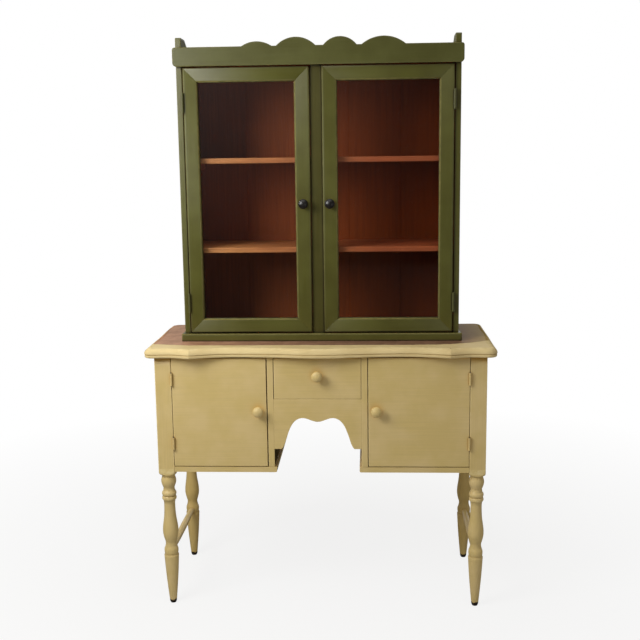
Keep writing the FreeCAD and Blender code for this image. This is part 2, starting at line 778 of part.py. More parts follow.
def crest_board():
    """The board across the top of the front, with four scallops on its upper edge."""
    half = cabinet_half + crest_end_overhang
    points = [Vector(-half, crest_front, crest_top), Vector(-half, crest_front, crest_bottom),
              Vector(half, crest_front, crest_bottom), Vector(half, crest_front, crest_top)]
    edges = [Part.makeLine(first, second) for first, second in zip(points, points[1:])]
    here = points[0]
    for start, end, rise in crest_shares:
        foot = Vector(start * half, crest_front, crest_top)
        far_foot = Vector(end * half, crest_front, crest_top)
        peak = (foot + far_foot) * 0.5 + Vector(0, 0, rise * crest_rise)
        edges += [Part.makeLine(here, foot), arc(foot, peak, far_foot)]
        here = far_foot
    edges.append(Part.makeLine(here, points[-1]))
    board = face_of(edges).extrude(Vector(0, crest_thickness, 0))
    lower = lambda middle, edge: near(abs(middle.x), half) and near(middle.z, crest_bottom)
    upper = lambda middle, edge: near(abs(middle.x), half) and near(middle.z, crest_top)
    board = rounded(board, crest_lower_corner_radius, lower)
    board = rounded(board, crest_upper_corner_radius, upper)
    return front_rounded(board, crest_front)


def shelf(bottom):
    """A shelf from side to side, whose front edge meets the middle stile."""
    board = box(-cabinet_inner, cabinet_inner, shelf_front, back_board_front, bottom, bottom + shelf_thickness)
    return front_rounded(board, shelf_front)


def shelf_cleats():
    """Strips on the side boards that carry the shelves."""
    strips = []
    for bottom in (lower_shelf_bottom, upper_shelf_bottom):
        strip = box(cabinet_inner - cleat_width, cabinet_inner, shelf_front + cleat_front_set_back,
                    back_board_front, bottom - cleat_height, bottom)
        strips += [strip, mirror_x(strip)]
    return Part.makeCompound(strips)


# Glazed doors

def frame_member(length):
    """A mitred frame member along Z: its outer edge on X = 0 and its front face on Y = 0."""
    inner_lip = frame_width - rebate_width
    arris = frame_arris_radius * arc_middle_share
    points = [Vector(frame_arris_radius, 0, 0), Vector(frame_width - frame_chamfer, 0, 0),
              Vector(frame_width, frame_chamfer, 0), Vector(frame_width, lip_thickness, 0),
              Vector(inner_lip, lip_thickness, 0), Vector(inner_lip, glazed_door_thickness, 0),
              Vector(0, glazed_door_thickness, 0), Vector(0, frame_arris_radius, 0)]
    edges = [Part.makeLine(first, second) for first, second in zip(points, points[1:])]
    edges.append(arc(points[-1], Vector(arris, arris, 0), points[0]))
    bar = face_of(edges).extrude(Vector(0, 0, length))
    mitre = [Vector(0, 0, 0), Vector(frame_width, 0, frame_width),
             Vector(frame_width, 0, length - frame_width), Vector(0, 0, length), Vector(0, 0, 0)]
    wedge = Part.Face(Part.makePolygon(mitre)).extrude(Vector(0, glazed_door_thickness, 0))
    return bar.common(wedge)


def glazed_door(side, x0, x1, knob_x):
    """A glazed door's frame, glass, beads and knob, by the names of their nodes."""
    width = x1 - x0
    height = glazed_top - glazed_bottom
    hole_z = glazed_bottom + glazed_knob_lift
    corner = Vector(x0, glazed_face, glazed_bottom)
    stile = frame_member(height)
    rail = frame_member(width).mirror(Vector(0, 0, 0), Vector(1, 0, -1))
    left = stile.copy()
    right = mirror_x(stile)
    right.translate(Vector(width, 0, 0))
    top = rail.mirror(Vector(0, 0, 0), Vector(0, 0, 1))
    top.translate(Vector(0, 0, height))
    for piece in (left, right, rail, top):
        piece.translate(corner)
    hole = spigot_hole(knob_x, glazed_face, hole_z)
    outer, inner = (left, right) if side == "left" else (right, left)

    pane_x0 = x0 + frame_width - rebate_width + glass_edge_clearance
    pane_x1 = x1 - frame_width + rebate_width - glass_edge_clearance
    pane_z0 = glazed_bottom + frame_width - rebate_width + glass_edge_clearance
    pane_z1 = glazed_top - frame_width + rebate_width - glass_edge_clearance
    pane_y = glazed_face + lip_thickness
    bead_front = pane_y + glass_thickness
    bead_rear = glazed_face + glazed_door_thickness
    glass = box(pane_x0, pane_x1, pane_y, bead_front, pane_z0, pane_z1)

    edge_x0 = x0 + frame_width - rebate_width
    edge_x1 = x1 - frame_width + rebate_width
    edge_z0 = glazed_bottom + frame_width - rebate_width
    edge_z1 = glazed_top - frame_width + rebate_width
    beads = Part.makeCompound([
        box(edge_x0, edge_x1, bead_front, bead_rear, edge_z0, edge_z0 + bead_width),
        box(edge_x0, edge_x1, bead_front, bead_rear, edge_z1 - bead_width, edge_z1),
        box(edge_x0, edge_x0 + bead_width, bead_front, bead_rear, edge_z0 + bead_width, edge_z1 - bead_width),
        box(edge_x1 - bead_width, edge_x1, bead_front, bead_rear, edge_z0 + bead_width, edge_z1 - bead_width),
    ])
    name = "glazed_door_" + side
    return {
        name + "_outer_stile": outer,
        name + "_inner_stile": inner.cut(hole),
        name + "_top_rail": top,
        name + "_bottom_rail": rail,
        name + "_glass": glass,
        name + "_beads": beads,
        name + "_knob": placed_knob(black_knob(), knob_x, glazed_face, hole_z),
    }


# All pieces by the names of their nodes

def stand_nodes():
    """Every piece of the stand."""
    nodes = {
        "table_top": table_top(),
        "leg_front_left": leg_at(-leg_x, front_leg_y, True),
        "leg_front_right": leg_at(leg_x, front_leg_y, True),
        "leg_rear_left": leg_at(-leg_x, rear_leg_y, False),
        "leg_rear_right": leg_at(leg_x, rear_leg_y, False),
        "stretcher_left": stretcher(-leg_x),
        "stretcher_right": stretcher(leg_x),
        "end_panel_left": mirror_x(end_panel()),
        "end_panel_right": end_panel(),
        "stand_back_panel": stand_back(),
        "kneehole_wall_left": kneehole_wall(wall_left_outer),
        "kneehole_wall_right": kneehole_wall(bay_right),
        "cupboard_floor_left": cupboard_floor(bay_left + floor_lip),
        "cupboard_floor_right": cupboard_floor(bay_right - floor_lip),
        "apron": apron(),
        "drawer_runners": drawer_runners(),
        "top_glue_blocks": glue_blocks(),
        "cupboard_door_stops": door_stops(),
    }
    left_end = wall_left_outer - left_door_free_gap
    right_end = wall_right_outer + right_door_free_gap
    jamb = post_inner - door_gap
    left = cupboard_door(-jamb, left_end, left_end - cupboard_knob_inset)
    right = cupboard_door(right_end, jamb, right_end + cupboard_knob_inset)
    nodes["cupboard_door_left"], nodes["cupboard_knob_left"] = left
    nodes["cupboard_door_right"], nodes["cupboard_knob_right"] = right
    heights = hinge_places(cupboard_hinge_length, door_bottom + cupboard_hinge_low_distance,
                           door_top - cupboard_hinge_high_distance)
    fixed, doors, pins = hinge_set(cupboard_hinge_length, cupboard_hinge_knuckles, door_gap, post_inner,
                                   stand_face, heights)
    nodes["cupboard_hinge_post_leaves"] = fixed
    nodes["cupboard_hinge_door_leaves_left"], nodes["cupboard_hinge_door_leaves_right"] = doors
    nodes["cupboard_hinge_pins"] = pins
    nodes.update(drawer())
    return nodes


def cabinet_nodes():
    """Every piece of the glazed cabinet."""
    stile = box(middle_left, middle_right, cabinet_face, stile_rear, base_top, top_board_bottom)
    nodes = {
        "cabinet_base_board": cabinet_base(),
        "cabinet_side_left": mirror_x(cabinet_side()),
        "cabinet_side_right": cabinet_side(),
        "cabinet_top_board": box(-cabinet_inner, cabinet_inner, cabinet_face, back_board_front,
                                 top_board_bottom, top_board_bottom + top_board_thickness),
        "cabinet_back_boards": back_boards(),
        "crest_board": crest_board(),
        "cabinet_middle_stile": front_rounded(stile, cabinet_face),
        "shelf_lower": shelf(lower_shelf_bottom),
        "shelf_upper": shelf(upper_shelf_bottom),
        "shelf_cleats": shelf_cleats(),
    }
    jamb = cabinet_inner - glazed_door_gap
    left_end = middle_left - glazed_door_gap
    right_end = middle_right + glazed_door_gap
    nodes.update(glazed_door("left", -jamb, left_end, left_end - glazed_knob_inset))
    nodes.update(glazed_door("right", right_end, jamb, right_end + glazed_knob_inset))
    heights = hinge_places(glazed_hinge_length, glazed_bottom + glazed_hinge_low_distance,
                           glazed_top - glazed_hinge_high_distance)
    fixed, doors, pins = hinge_set(glazed_hinge_length, glazed_hinge_knuckles, glazed_door_gap,
                                   cabinet_inner, glazed_face, heights)
    nodes["cabinet_hinge_side_leaves"] = fixed
    nodes["cabinet_hinge_door_leaves_left"], nodes["cabinet_hinge_door_leaves_right"] = doors
    nodes["cabinet_hinge_pins"] = pins
    return nodes


os.makedirs("parts", exist_ok=True)
for node_name, node_shape in {**stand_nodes(), **cabinet_nodes()}.items():
    if not node_shape.isValid():
        raise ValueError(node_name + " isn't a valid shape")
    node_shape.exportStep("parts/" + node_name + ".step")
    print(node_name, len(node_shape.Solids), "solids", round(node_shape.Volume / 1000), "cm3")
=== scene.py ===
"""Looks of a painted kitchen hutch: a green glazed cabinet on a cream stand with turned legs.

Each sub-assembly is a class. It holds its own sizes, works its surfaces out with numpy and dresses
them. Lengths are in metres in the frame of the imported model: X right, front towards -Y, Z up.
"""

import json
import logging
import math
from dataclasses import dataclass, replace
from enum import Enum

import bpy
import numpy as np
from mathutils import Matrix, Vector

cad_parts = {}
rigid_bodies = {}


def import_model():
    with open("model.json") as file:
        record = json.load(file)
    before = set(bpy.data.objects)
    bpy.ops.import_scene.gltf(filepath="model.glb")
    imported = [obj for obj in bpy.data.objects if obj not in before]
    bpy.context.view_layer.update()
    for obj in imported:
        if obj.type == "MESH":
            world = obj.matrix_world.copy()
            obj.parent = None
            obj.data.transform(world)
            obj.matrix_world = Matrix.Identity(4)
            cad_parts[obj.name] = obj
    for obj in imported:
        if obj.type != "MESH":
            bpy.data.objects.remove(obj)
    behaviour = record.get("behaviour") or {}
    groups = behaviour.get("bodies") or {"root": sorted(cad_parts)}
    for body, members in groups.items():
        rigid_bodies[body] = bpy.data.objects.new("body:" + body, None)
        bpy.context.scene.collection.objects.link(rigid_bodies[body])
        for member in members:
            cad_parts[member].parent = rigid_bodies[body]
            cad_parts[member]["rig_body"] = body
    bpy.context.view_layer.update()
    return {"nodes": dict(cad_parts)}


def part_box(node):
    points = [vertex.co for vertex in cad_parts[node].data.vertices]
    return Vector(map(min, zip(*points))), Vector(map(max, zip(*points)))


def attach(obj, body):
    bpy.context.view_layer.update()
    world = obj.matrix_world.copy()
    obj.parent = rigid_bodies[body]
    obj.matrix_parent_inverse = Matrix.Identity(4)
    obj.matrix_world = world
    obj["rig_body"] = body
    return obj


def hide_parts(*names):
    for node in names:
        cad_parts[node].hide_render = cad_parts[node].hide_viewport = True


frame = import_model()
LOG = logging.getLogger("hutch")
Array = np.ndarray
Socket = bpy.types.NodeSocket
MM = 0.001
QUARTER = math.pi / 2
SIDES = ("left", "right")


class Plane(Enum):
    """The plane a board's outline is drawn in: its two axes and then the axis of its thickness."""

    FLOOR = (0, 1, 2)
    FRONT = (0, 2, 1)
    SIDE = (1, 2, 0)


class Strokes(Enum):
    """The way the brush or the grain ran over a piece, as an axis of the frame."""

    ACROSS = 0
    DEEP = 1
    UPRIGHT = 2


# Surfaces

@dataclass
class Surface:
    """One closed surface: its points, its faces, the wear at each point from 0 to 1, and its finishes."""

    points: Array
    faces: list[list[int]]
    wear: Array
    finishes: list[int]

    def signed_volume(self) -> float:
        """The volume inside, which is negative when the faces point inwards."""
        fans = np.array([(f[0], f[k], f[k + 1]) for f in self.faces for k in range(1, len(f) - 1)])
        a, b, c = (self.points[fans[:, k]] for k in range(3))
        return float(np.sum(a * np.cross(b, c)) / 6)

    def facing_outwards(self) -> "Surface":
        """The same surface with its faces turned to point outwards."""
        if self.signed_volume() < 0:
            self.faces = [face[::-1] for face in self.faces]
        return self


def wave(places: Array, length: float, seed: int) -> Array:
    """A slow uneven line between -1 and 1: three sines whose periods fit into the length."""
    phases = np.random.default_rng(seed).uniform(0, 2 * math.pi, 3)
    turns = 2 * math.pi * places / length
    return sum(np.sin(times * turns + phase) for times, phase in zip((3, 7, 13), phases)) / 3


def smooth_curve(knots: Array, count: int, first: Array | None = None, last: Array | None = None) -> Array:
    """Points on the smooth cubic curve through the knots.

    The tangents at the knots solve a small linear system, so that the bend runs on without a jump,
    and each stretch is the cubic with those two ends and tangents.

    Args:
        knots: the points to go through, one to a row.
        count: how many points to return.
        first: the direction at the first knot, or None to let it end without bend.
        last: the direction at the last knot, or None.

    Returns:
        The points, one to a row.
    """
    knots = np.array(knots)
    steps = np.linalg.norm(np.diff(knots, axis=0), axis=1)
    places = np.concatenate([[0.0], np.cumsum(steps)])
    size = len(knots)
    system = np.zeros((size, size))
    slopes = np.diff(knots, axis=0) / steps[:, None]
    right = np.zeros_like(knots)
    inner = np.arange(1, size - 1)
    system[inner, inner - 1] = steps[1:]
    system[inner, inner] = 2 * (steps[:-1] + steps[1:])
    system[inner, inner + 1] = steps[:-1]
    right[inner] = 3 * (steps[1:, None] * slopes[:-1] + steps[:-1, None] * slopes[1:])
    for row, beside, slope, given in ((0, 1, slopes[0], first), (size - 1, size - 2, slopes[-1], last)):
        system[row, row] = 2 if given is None else 1
        system[row, beside] = 1 if given is None else 0
        right[row] = 3 * slope if given is None else np.asarray(given) / np.linalg.norm(given)
    tangents = np.linalg.solve(system, right)
    at = np.linspace(0, places[-1], count)
    low = np.clip(np.searchsorted(places, at, side="right") - 1, 0, size - 2)
    step = steps[low][:, None]
    t = (at - places[low])[:, None] / step
    return (knots[low] * (1 + 2 * t) * (1 - t) ** 2 + tangents[low] * step * t * (1 - t) ** 2
            + knots[low + 1] * t ** 2 * (3 - 2 * t) + tangents[low + 1] * step * t ** 2 * (t - 1))


def arc(centre: Array, radii: float | tuple[float, float], start: float, end: float, count: int) -> Array:
    """Points on a circle or an ellipse round a centre, from one angle to another."""
    angles = np.linspace(start, end, count)
    return np.array(centre) + np.array(radii) * np.column_stack([np.cos(angles), np.sin(angles)])


def rounded_rectangle(low: Array, high: Array, radius: float, steps: int) -> Array:
    """An anticlockwise rectangle whose corners are quarter circles of so many points."""
    left, right, lower, upper = low[0] + radius, high[0] - radius, low[1] + radius, high[1] - radius
    corners = ((right, upper), (left, upper), (left, lower), (right, lower))
    return np.vstack([arc(corner, radius, turn * QUARTER, (turn + 1) * QUARTER, steps)
                      for turn, corner in enumerate(corners)])


def divided(outline: Array, spacing: float) -> Array:
    """The same closed outline, anticlockwise, with points put in where they lie further apart."""
    x, y = outline.T
    if np.sum(x * np.roll(y, -1) - y * np.roll(x, -1)) < 0:
        outline = outline[::-1]
    closed = np.vstack([outline, outline[:1]])
    along = np.concatenate([[0.0], np.cumsum(np.linalg.norm(np.diff(closed, axis=0), axis=1))])
    extra = np.arange(0, along[-1], spacing)
    extra = extra[np.min(np.abs(extra[:, None] - along[None, :]), axis=1) > spacing / 3]
    places = np.sort(np.concatenate([along[:-1], extra]))
    return np.column_stack([np.interp(places, along, closed[:, axis]) for axis in (0, 1)])


SHARP_COSINE = 0.86
CORNER_POINTS = 5
SHARPEST_CORNER = 0.12 * MM
UNEVENNESS = 0.3


@dataclass(frozen=True)
class Corners:
    """The directions at each point of an anticlockwise outline, and which of the points are sharp corners.

    The mitred outward normal is the sum of the unit normals of the two edges at a point, over one
    plus their cosine. A point is sharp where the outline turns by more than about 30 degrees. The
    room is what a rounding may take of the shorter edge.
    """

    before: Array
    after: Array
    normal: Array
    tangent: Array
    convex: Array
    sharp: Array
    room: Array

    @classmethod
    def of(cls, outline: Array) -> "Corners":
        """Works out an outline's corners."""
        edge = np.roll(outline, -1, axis=0) - outline
        length = np.linalg.norm(edge, axis=1)
        after = edge / length[:, None]
        before = np.roll(after, 1, axis=0)
        cosine = np.sum(after * before, axis=1)
        sine = before[:, 0] * after[:, 1] - before[:, 1] * after[:, 0]
        outward = np.column_stack([(before + after)[:, 1], -(before + after)[:, 0]])
        room = 0.45 * np.minimum(length, np.roll(length, 1))
        return cls(before, after, outward / (1 + cosine)[:, None], np.abs(sine) / (1 + cosine),
                   sine > 0, cosine < SHARP_COSINE, room)


def ringed(points: Array, wear: Array, cap_finishes: tuple[int, int] = (0, 0)) -> Surface:
    """A closed surface from rings of points, with a flat cap on the first and the last ring.

    Args:
        points: an array of rings by places by 3.
        wear: an array of rings by places.
        cap_finishes: which of the piece's finishes the first and last caps get.

    Returns:
        The surface, its faces pointing outwards.
    """
    rings, around, _ = points.shape
    start, place = np.meshgrid(np.arange(rings - 1) * around, np.arange(around), indexing="ij")
    near, beside = start + place, start + (place + 1) % around
    faces = np.stack([near, beside, beside + around, near + around], axis=-1).reshape(-1, 4).tolist()
    finishes = [0] * len(faces) + list(cap_finishes)
    last = (rings - 1) * around
    faces += [list(range(around))[::-1], list(range(last, last + around))]
    return Surface(points.reshape(-1, 3), faces, wear.ravel(), finishes).facing_outwards()


ARRIS_POINTS = 5


def eased_edge(thickness: float, radius: float, worn_width: float = 2.5 * MM) -> Array:
    """The edge of a board whose two arrises are rounded: insets, heights and wear, one point to a row.

    Each arris is a quarter circle with one more point on either side. Its middle is the most worn
    place, and the wear ends a little way in on the flat faces beside it.
    """
    turn = np.linspace(0, QUARTER, ARRIS_POINTS)
    arris = np.column_stack([radius * (1 - np.sin(turn)), radius * (1 - np.cos(turn)),
                             0.35 + 0.65 * np.sin(2 * turn)])
    worn_width = min(worn_width, thickness / 2 - radius - 0.05 * MM)
    near_half = np.vstack([[[radius + worn_width, 0, 0]], arris, [[0, radius + worn_width, 0]]])
    far_half = near_half[::-1] * [1, -1, 1] + [0, thickness, 0]
    return np.vstack([near_half, far_half])


def carried(outline: Array, edge: Array, plane: Plane, base: float, seed: int = 0,
            corner: float = 1.2 * MM, cap_finishes: tuple[int, int] = (0, 0)) -> Surface:
    """An edge shape carried round a closed outline, with a flat cap at each end.

    Ring i is the outline moved inwards along its mitred normals by the inset of edge point i, at
    the height of that point. The insets swell and shrink slowly along the outline, as a hand-eased
    arris does. A sharp corner P of a ring becomes the curve P - (1 - s)^2 * r * e + s^2 * r * f,
    where e and f are the directions of its two edges and r is what the corner's radius leaves.

    Args:
        outline: the widest outline, in the plane.
        edge: insets, heights and wear, one point to a row.
        plane: the plane of the outline.
        base: where the edge's heights start on the third axis.
        seed: picks the unevenness.
        corner: the radius of the outline's sharp corners.
        cap_finishes: which of the piece's finishes the two caps get.

    Returns:
        The surface.
    """
    at = Corners.of(outline)
    along = np.cumsum(np.linalg.norm(outline - np.roll(outline, 1, axis=0), axis=1))
    inset = edge[:, 0, None] * (1 + UNEVENNESS * wave(along, float(along[-1]), seed))
    radius = np.where(at.convex, np.maximum(corner - inset, SHARPEST_CORNER), corner + inset)
    reach = np.where(at.sharp, np.minimum(radius * at.tangent, at.room), 0.0)
    flat = outline - at.normal * inset[:, :, None]
    steps = np.where(at.sharp, CORNER_POINTS, 1)
    pick = np.repeat(np.arange(len(outline)), steps)
    number = np.arange(len(pick)) - np.repeat(np.cumsum(steps) - steps, steps)
    share = np.where(at.sharp[pick], number / (CORNER_POINTS - 1), 0.5)
    flat = (flat[:, pick] - ((1 - share) ** 2 * reach[:, pick])[..., None] * at.before[pick]
            + (share ** 2 * reach[:, pick])[..., None] * at.after[pick])
    points = np.empty((len(edge), len(pick), 3))
    points[..., plane.value[0]] = flat[..., 0]
    points[..., plane.value[1]] = flat[..., 1]
    points[..., plane.value[2]] = base + edge[:, 1, None]
    worn_corner = np.where(at.sharp & at.convex, 1.0, 0.0)[pick] * (1 - np.abs(2 * share - 1))
    wear = np.maximum(edge[:, 2, None], worn_corner * (edge[:, :1] < corner))
    return ringed(points, wear, cap_finishes)


TURNED_POINTS = 40
FULL_RIDGE = 2.5 * MM


def ridges(profile: Array) -> Array:
    """How far each point of a profile stands out from the running mean of its radii, from 0 to 1."""
    radii = profile[:, 0]
    reach = max(3, len(radii) // 16)
    padded = np.pad(radii, reach, mode="edge")
    mean = np.convolve(padded, np.full(2 * reach + 1, 1 / (2 * reach + 1)), mode="valid")
    return np.clip((radii - mean) / FULL_RIDGE, 0, 1)


def turned(profile: Array, foot: Array, along: tuple[int, int, int]) -> Surface:
    """A profile turned round a level axis, with wear where it stands out as a ridge.

    A point at angle a is radius times cos a to the right of the axis, and radius times sin a above it.

    Args:
        profile: radii and heights, one point to a row.
        foot: where the axis's heights start.
        along: the axis's direction.

    Returns:
        The surface.
    """
    angles = np.linspace(0, 2 * math.pi, TURNED_POINTS, endpoint=False)
    spokes = np.column_stack([np.cos(angles), np.zeros(TURNED_POINTS), np.sin(angles)])
    points = foot + profile[:, :1, None] * spokes + profile[:, 1:, None] * np.array(along)
    return ringed(points, np.repeat(ridges(profile)[:, None], TURNED_POINTS, axis=1))


def joined(surfaces: list[Surface]) -> Surface:
    """Several surfaces as one, in the same order."""
    starts = np.cumsum([0] + [len(s.points) for s in surfaces])
    faces = [[index + int(start) for index in face]
             for s, start in zip(surfaces, starts) for face in s.faces]
    return Surface(np.vstack([s.points for s in surfaces]), faces,
                   np.concatenate([s.wear for s in surfaces]), sum((s.finishes for s in surfaces), []))


# Materials

WHITE = "#FFFFFF"
# The range that most values of a noise lie in
MOST = (0.3, 0.7)
# Sockets of the Mix node: its share, and what it takes and gives as numbers and as colours
FACTOR, NUMBER_A, NUMBER_B, NUMBER_OUT, COLOUR_A, COLOUR_B, COLOUR_OUT = 0, 2, 3, 0, 6, 7, 2


def linear(hex_colour: str) -> tuple[float, float, float, float]:
    """A colour written as six hex digits of sRGB, as the linear red, green, blue and alpha of a socket."""
    parts = np.array([int(hex_colour[k:k + 2], 16) for k in (1, 3, 5)]) / 255
    straight = np.where(parts <= 0.04045, parts / 12.92, ((parts + 0.055) / 1.055) ** 2.4)
    return (*(float(part) for part in straight), 1.0)


def add_node(tree: bpy.types.NodeTree, kind: str, feeds: dict | None = None, **settings) -> bpy.types.Node:
    """Adds a node.

    Args:
        tree: the node tree it goes into.
        kind: the node's type, without the word that all types start with.
        feeds: by the name or number of an input, its value, its colour in hex, or the socket it links to.
        settings: values of the node's properties.

    Returns:
        The node.
    """
    node = tree.nodes.new("ShaderNode" + kind)
    for name, value in settings.items():
        setattr(node, name, value)
    for key, value in (feeds or {}).items():
        if isinstance(value, Socket):
            tree.links.new(value, node.inputs[key])
        else:
            node.inputs[key].default_value = linear(value) if isinstance(value, str) else value
    return node


@dataclass(frozen=True)
class Nodes:
    """A node tree, with a method for each kind of node that finishes use, which gives its socket."""

    tree: bpy.types.NodeTree

    @classmethod
    def of(cls, owner: bpy.types.Material | bpy.types.World) -> "Nodes":
        """The emptied node tree of a material or a world."""
        owner.use_nodes = True
        owner.node_tree.nodes.clear()
        return cls(owner.node_tree)

    def place(self) -> Socket:
        """The place on the piece, in the frame."""
        return add_node(self.tree, "TexCoord").outputs["Object"]

    def parts(self, vector: Socket) -> bpy.types.NodeOutputs:
        """A vector's X, Y and Z."""
        return add_node(self.tree, "SeparateXYZ", {"Vector": vector}).outputs

    def way(self) -> bpy.types.NodeOutputs:
        """What kind of ray it is, and what it went through."""
        return add_node(self.tree, "LightPath").outputs

    def wear(self) -> Socket:
        """The piece's wear."""
        return add_node(self.tree, "Attribute", attribute_name="wear").outputs["Fac"]

    def openness(self, reach: float) -> Socket:
        """How open the surroundings are within a reach: 1 on a free face and less in a corner."""
        return add_node(self.tree, "AmbientOcclusion", {"Distance": reach}, samples=8).outputs["AO"]

    def noise(self, place: Socket, size: float, detail: float, roughness: float = 0.5,
              distortion: float = 0.0) -> Socket:
        """Cloudy noise with marks of a size."""
        feeds = {"Vector": place, "Scale": 1 / size, "Detail": detail, "Roughness": roughness,
                 "Distortion": distortion}
        return add_node(self.tree, "TexNoise", feeds).outputs["Fac"]

    def streaks(self, place: Socket, strokes: Strokes, width: float, length: float, detail: float,
                distortion: float = 0.0) -> Socket:
        """Noise with marks that are that wide, and that long the way the brush or the grain ran."""
        scale = [1 / width] * 3
        scale[strokes.value] = 1 / length
        run = add_node(self.tree, "Mapping", {"Vector": place, "Scale": scale}).outputs["Vector"]
        return self.noise(run, 1.0, detail, 0.6, distortion)

    def ramp(self, value: Socket, low: float, high: float, start: float = 0.0, end: float = 1.0) -> Socket:
        """What runs from start to end while a value runs from low to high."""
        return add_node(self.tree, "MapRange", {"Value": value, "From Min": low, "From Max": high,
                                                "To Min": start, "To Max": end}).outputs["Result"]

    def math(self, operation: str, *values: Socket | float) -> Socket:
        """What a sum on numbers comes to."""
        return add_node(self.tree, "Math", dict(enumerate(values)), operation=operation).outputs["Value"]

    def blend(self, share: Socket, first: Socket | float, second: Socket | float) -> Socket:
        """A number between two."""
        feeds = {FACTOR: share, NUMBER_A: first, NUMBER_B: second}
        return add_node(self.tree, "Mix", feeds, data_type="FLOAT").outputs[NUMBER_OUT]

    def mix(self, share: Socket | float, first: Socket | str, second: Socket | str,
            how: str = "MIX") -> Socket:
        """A colour between two, or the two multiplied."""
        return add_node(self.tree, "Mix", {FACTOR: share, COLOUR_A: first, COLOUR_B: second},
                        data_type="RGBA", blend_type=how).outputs[COLOUR_OUT]

    def times(self, colour: Socket | str, factor: Socket) -> Socket:
        """A colour made lighter or darker."""
        return self.mix(1.0, colour, factor, "MULTIPLY")

    def shader(self, kind: str, feeds: dict) -> Socket:
        """A shader node."""
        return add_node(self.tree, kind, feeds).outputs[0]

    def either(self, share: Socket, first: Socket, second: Socket) -> Socket:
        """One shader or the other."""
        return self.shader("MixShader", {0: share, 1: first, 2: second})

    def coated(self, colour: Socket, dull: Socket, specular: float, height: Socket, relief: float,
               depth: float) -> Socket:
        """A surface of a colour and a dullness, whose fine relief follows a height."""
        ridge = self.shader("Bump", {"Height": height, "Strength": relief, "Distance": depth})
        return self.shader("BsdfPrincipled", {"Base Color": colour, "Roughness": dull, "Normal": ridge,
                                              "Specular IOR Level": specular})

    def seen(self, way: bpy.types.NodeOutputs, spare: float) -> Socket:
        """1 for the camera's rays, straight or through glass, and 0 for others.

        A ray through glass alone has as many transmissions as its depth.

        Args:
            way: the light path's sockets.
            spare: what the depth may exceed the transmissions by: 0.5, or 1.5 where a depth counts
                the light itself.

        Returns:
            The socket.
        """
        turns = self.math("SUBTRACT", way["Ray Depth"], way["Transmission Depth"])
        through = self.math("MULTIPLY", self.math("LESS_THAN", turns, spare), way["Is Transmission Ray"])
        return self.math("MAXIMUM", through, way["Is Camera Ray"])


@dataclass(frozen=True)
class Finish:
    """What every finish has: a name, the way its marks run, and a material that is made once."""

    name: str
    strokes: Strokes = Strokes.UPRIGHT

    def along(self, strokes: Strokes) -> "Finish":
        """The same finish with its marks running that way."""
        return replace(self, name=f"{self.name}_{strokes.name.lower()}", strokes=strokes)

    def material(self) -> bpy.types.Material:
        """The finish's material, made the first time it is asked for."""
        found = bpy.data.materials.get(self.name)
        if found:
            return found
        material = bpy.data.materials.new(self.name)
        nodes = Nodes.of(material)
        add_node(nodes.tree, "OutputMaterial", {"Surface": self.surface(nodes)})
        return material

    def surface(self, nodes: Nodes) -> Socket:
        """Makes the finish's nodes and gives the shader they end in."""
        raise NotImplementedError


@dataclass(frozen=True, kw_only=True)
class BrushedPaint(Finish):
    """Satin oil paint brushed on wood: the bristles leave fine ridges, and the coat thins at arrises."""

    body: str
    thin: str
    worn: str
    # The colour that grime and painted shade give the corners.
    grime_and_shade: str
    roughness: float = 0.42
    specular: float = 0.5
    stroke_width: float = 3.2 * MM
    stroke_length: float = 170 * MM
    stroke_contrast: float = 0.04
    stroke_relief: float = 0.14
    patch: float = 70 * MM
    rub: float = 14 * MM
    rubbed_from: float = 0.255
    rubbed_through: float = 0.635
    # A warm tint multiplied in where the surroundings close in: painted shade.
    painted_shade: str = "#FAE0A4"
    painted_shade_reach: float = 22 * MM
    corner_grime_and_shade: float = 0.7
    corner_reach: float = 4 * MM
    worn_dullness: float = 0.7

    def coat(self, nodes: Nodes) -> tuple[Socket, Socket]:
        """The paint's colour and its brush marks.

        The coat is rubbed through at worn arrises. A warm painted shade tints it where the surroundings close
        in, and grime and painted shade darken the corners.
        """
        place = nodes.place()
        marks = nodes.streaks(place, self.strokes, self.stroke_width, self.stroke_length, 3.0)
        tone = nodes.mix(nodes.ramp(nodes.noise(place, self.patch, 4.0), 0.36, 0.64), self.body, self.thin)
        streaks = nodes.ramp(marks, *MOST, 1 - self.stroke_contrast, 1 + self.stroke_contrast)
        brushed = nodes.times(tone, streaks)
        rub = nodes.math("MULTIPLY", nodes.wear(), nodes.noise(place, self.rub, 5.0, 0.65))
        rubbed = nodes.mix(nodes.ramp(rub, self.rubbed_from, self.rubbed_through), brushed, self.worn)
        # Painted shade: the warm tint where ambient occlusion finds the surroundings close.
        painted_shade_amount = nodes.ramp(nodes.openness(self.painted_shade_reach), 0.25, 0.92, 1.0, 0.0)
        with_painted_shade = nodes.mix(painted_shade_amount, rubbed, self.painted_shade, "MULTIPLY")
        # Grime and painted shade darken the narrow corners between parts.
        corner = nodes.ramp(nodes.openness(self.corner_reach), 0.3, 0.85, self.corner_grime_and_shade, 0.0)
        return nodes.mix(corner, with_painted_shade, self.grime_and_shade), marks

    def painted(self, nodes: Nodes, colour: Socket, marks: Socket) -> Socket:
        """The paint's gloss and brush ridges over a colour."""
        dull = nodes.ramp(marks, *MOST, self.roughness - 0.05, self.roughness + 0.07)
        duller = nodes.math("MULTIPLY_ADD", nodes.wear(), self.worn_dullness, dull)
        return nodes.coated(colour, duller, self.specular, marks, self.stroke_relief, 0.5 * MM)

    def surface(self, nodes: Nodes) -> Socket:
        """The paint."""
        return self.painted(nodes, *self.coat(nodes))


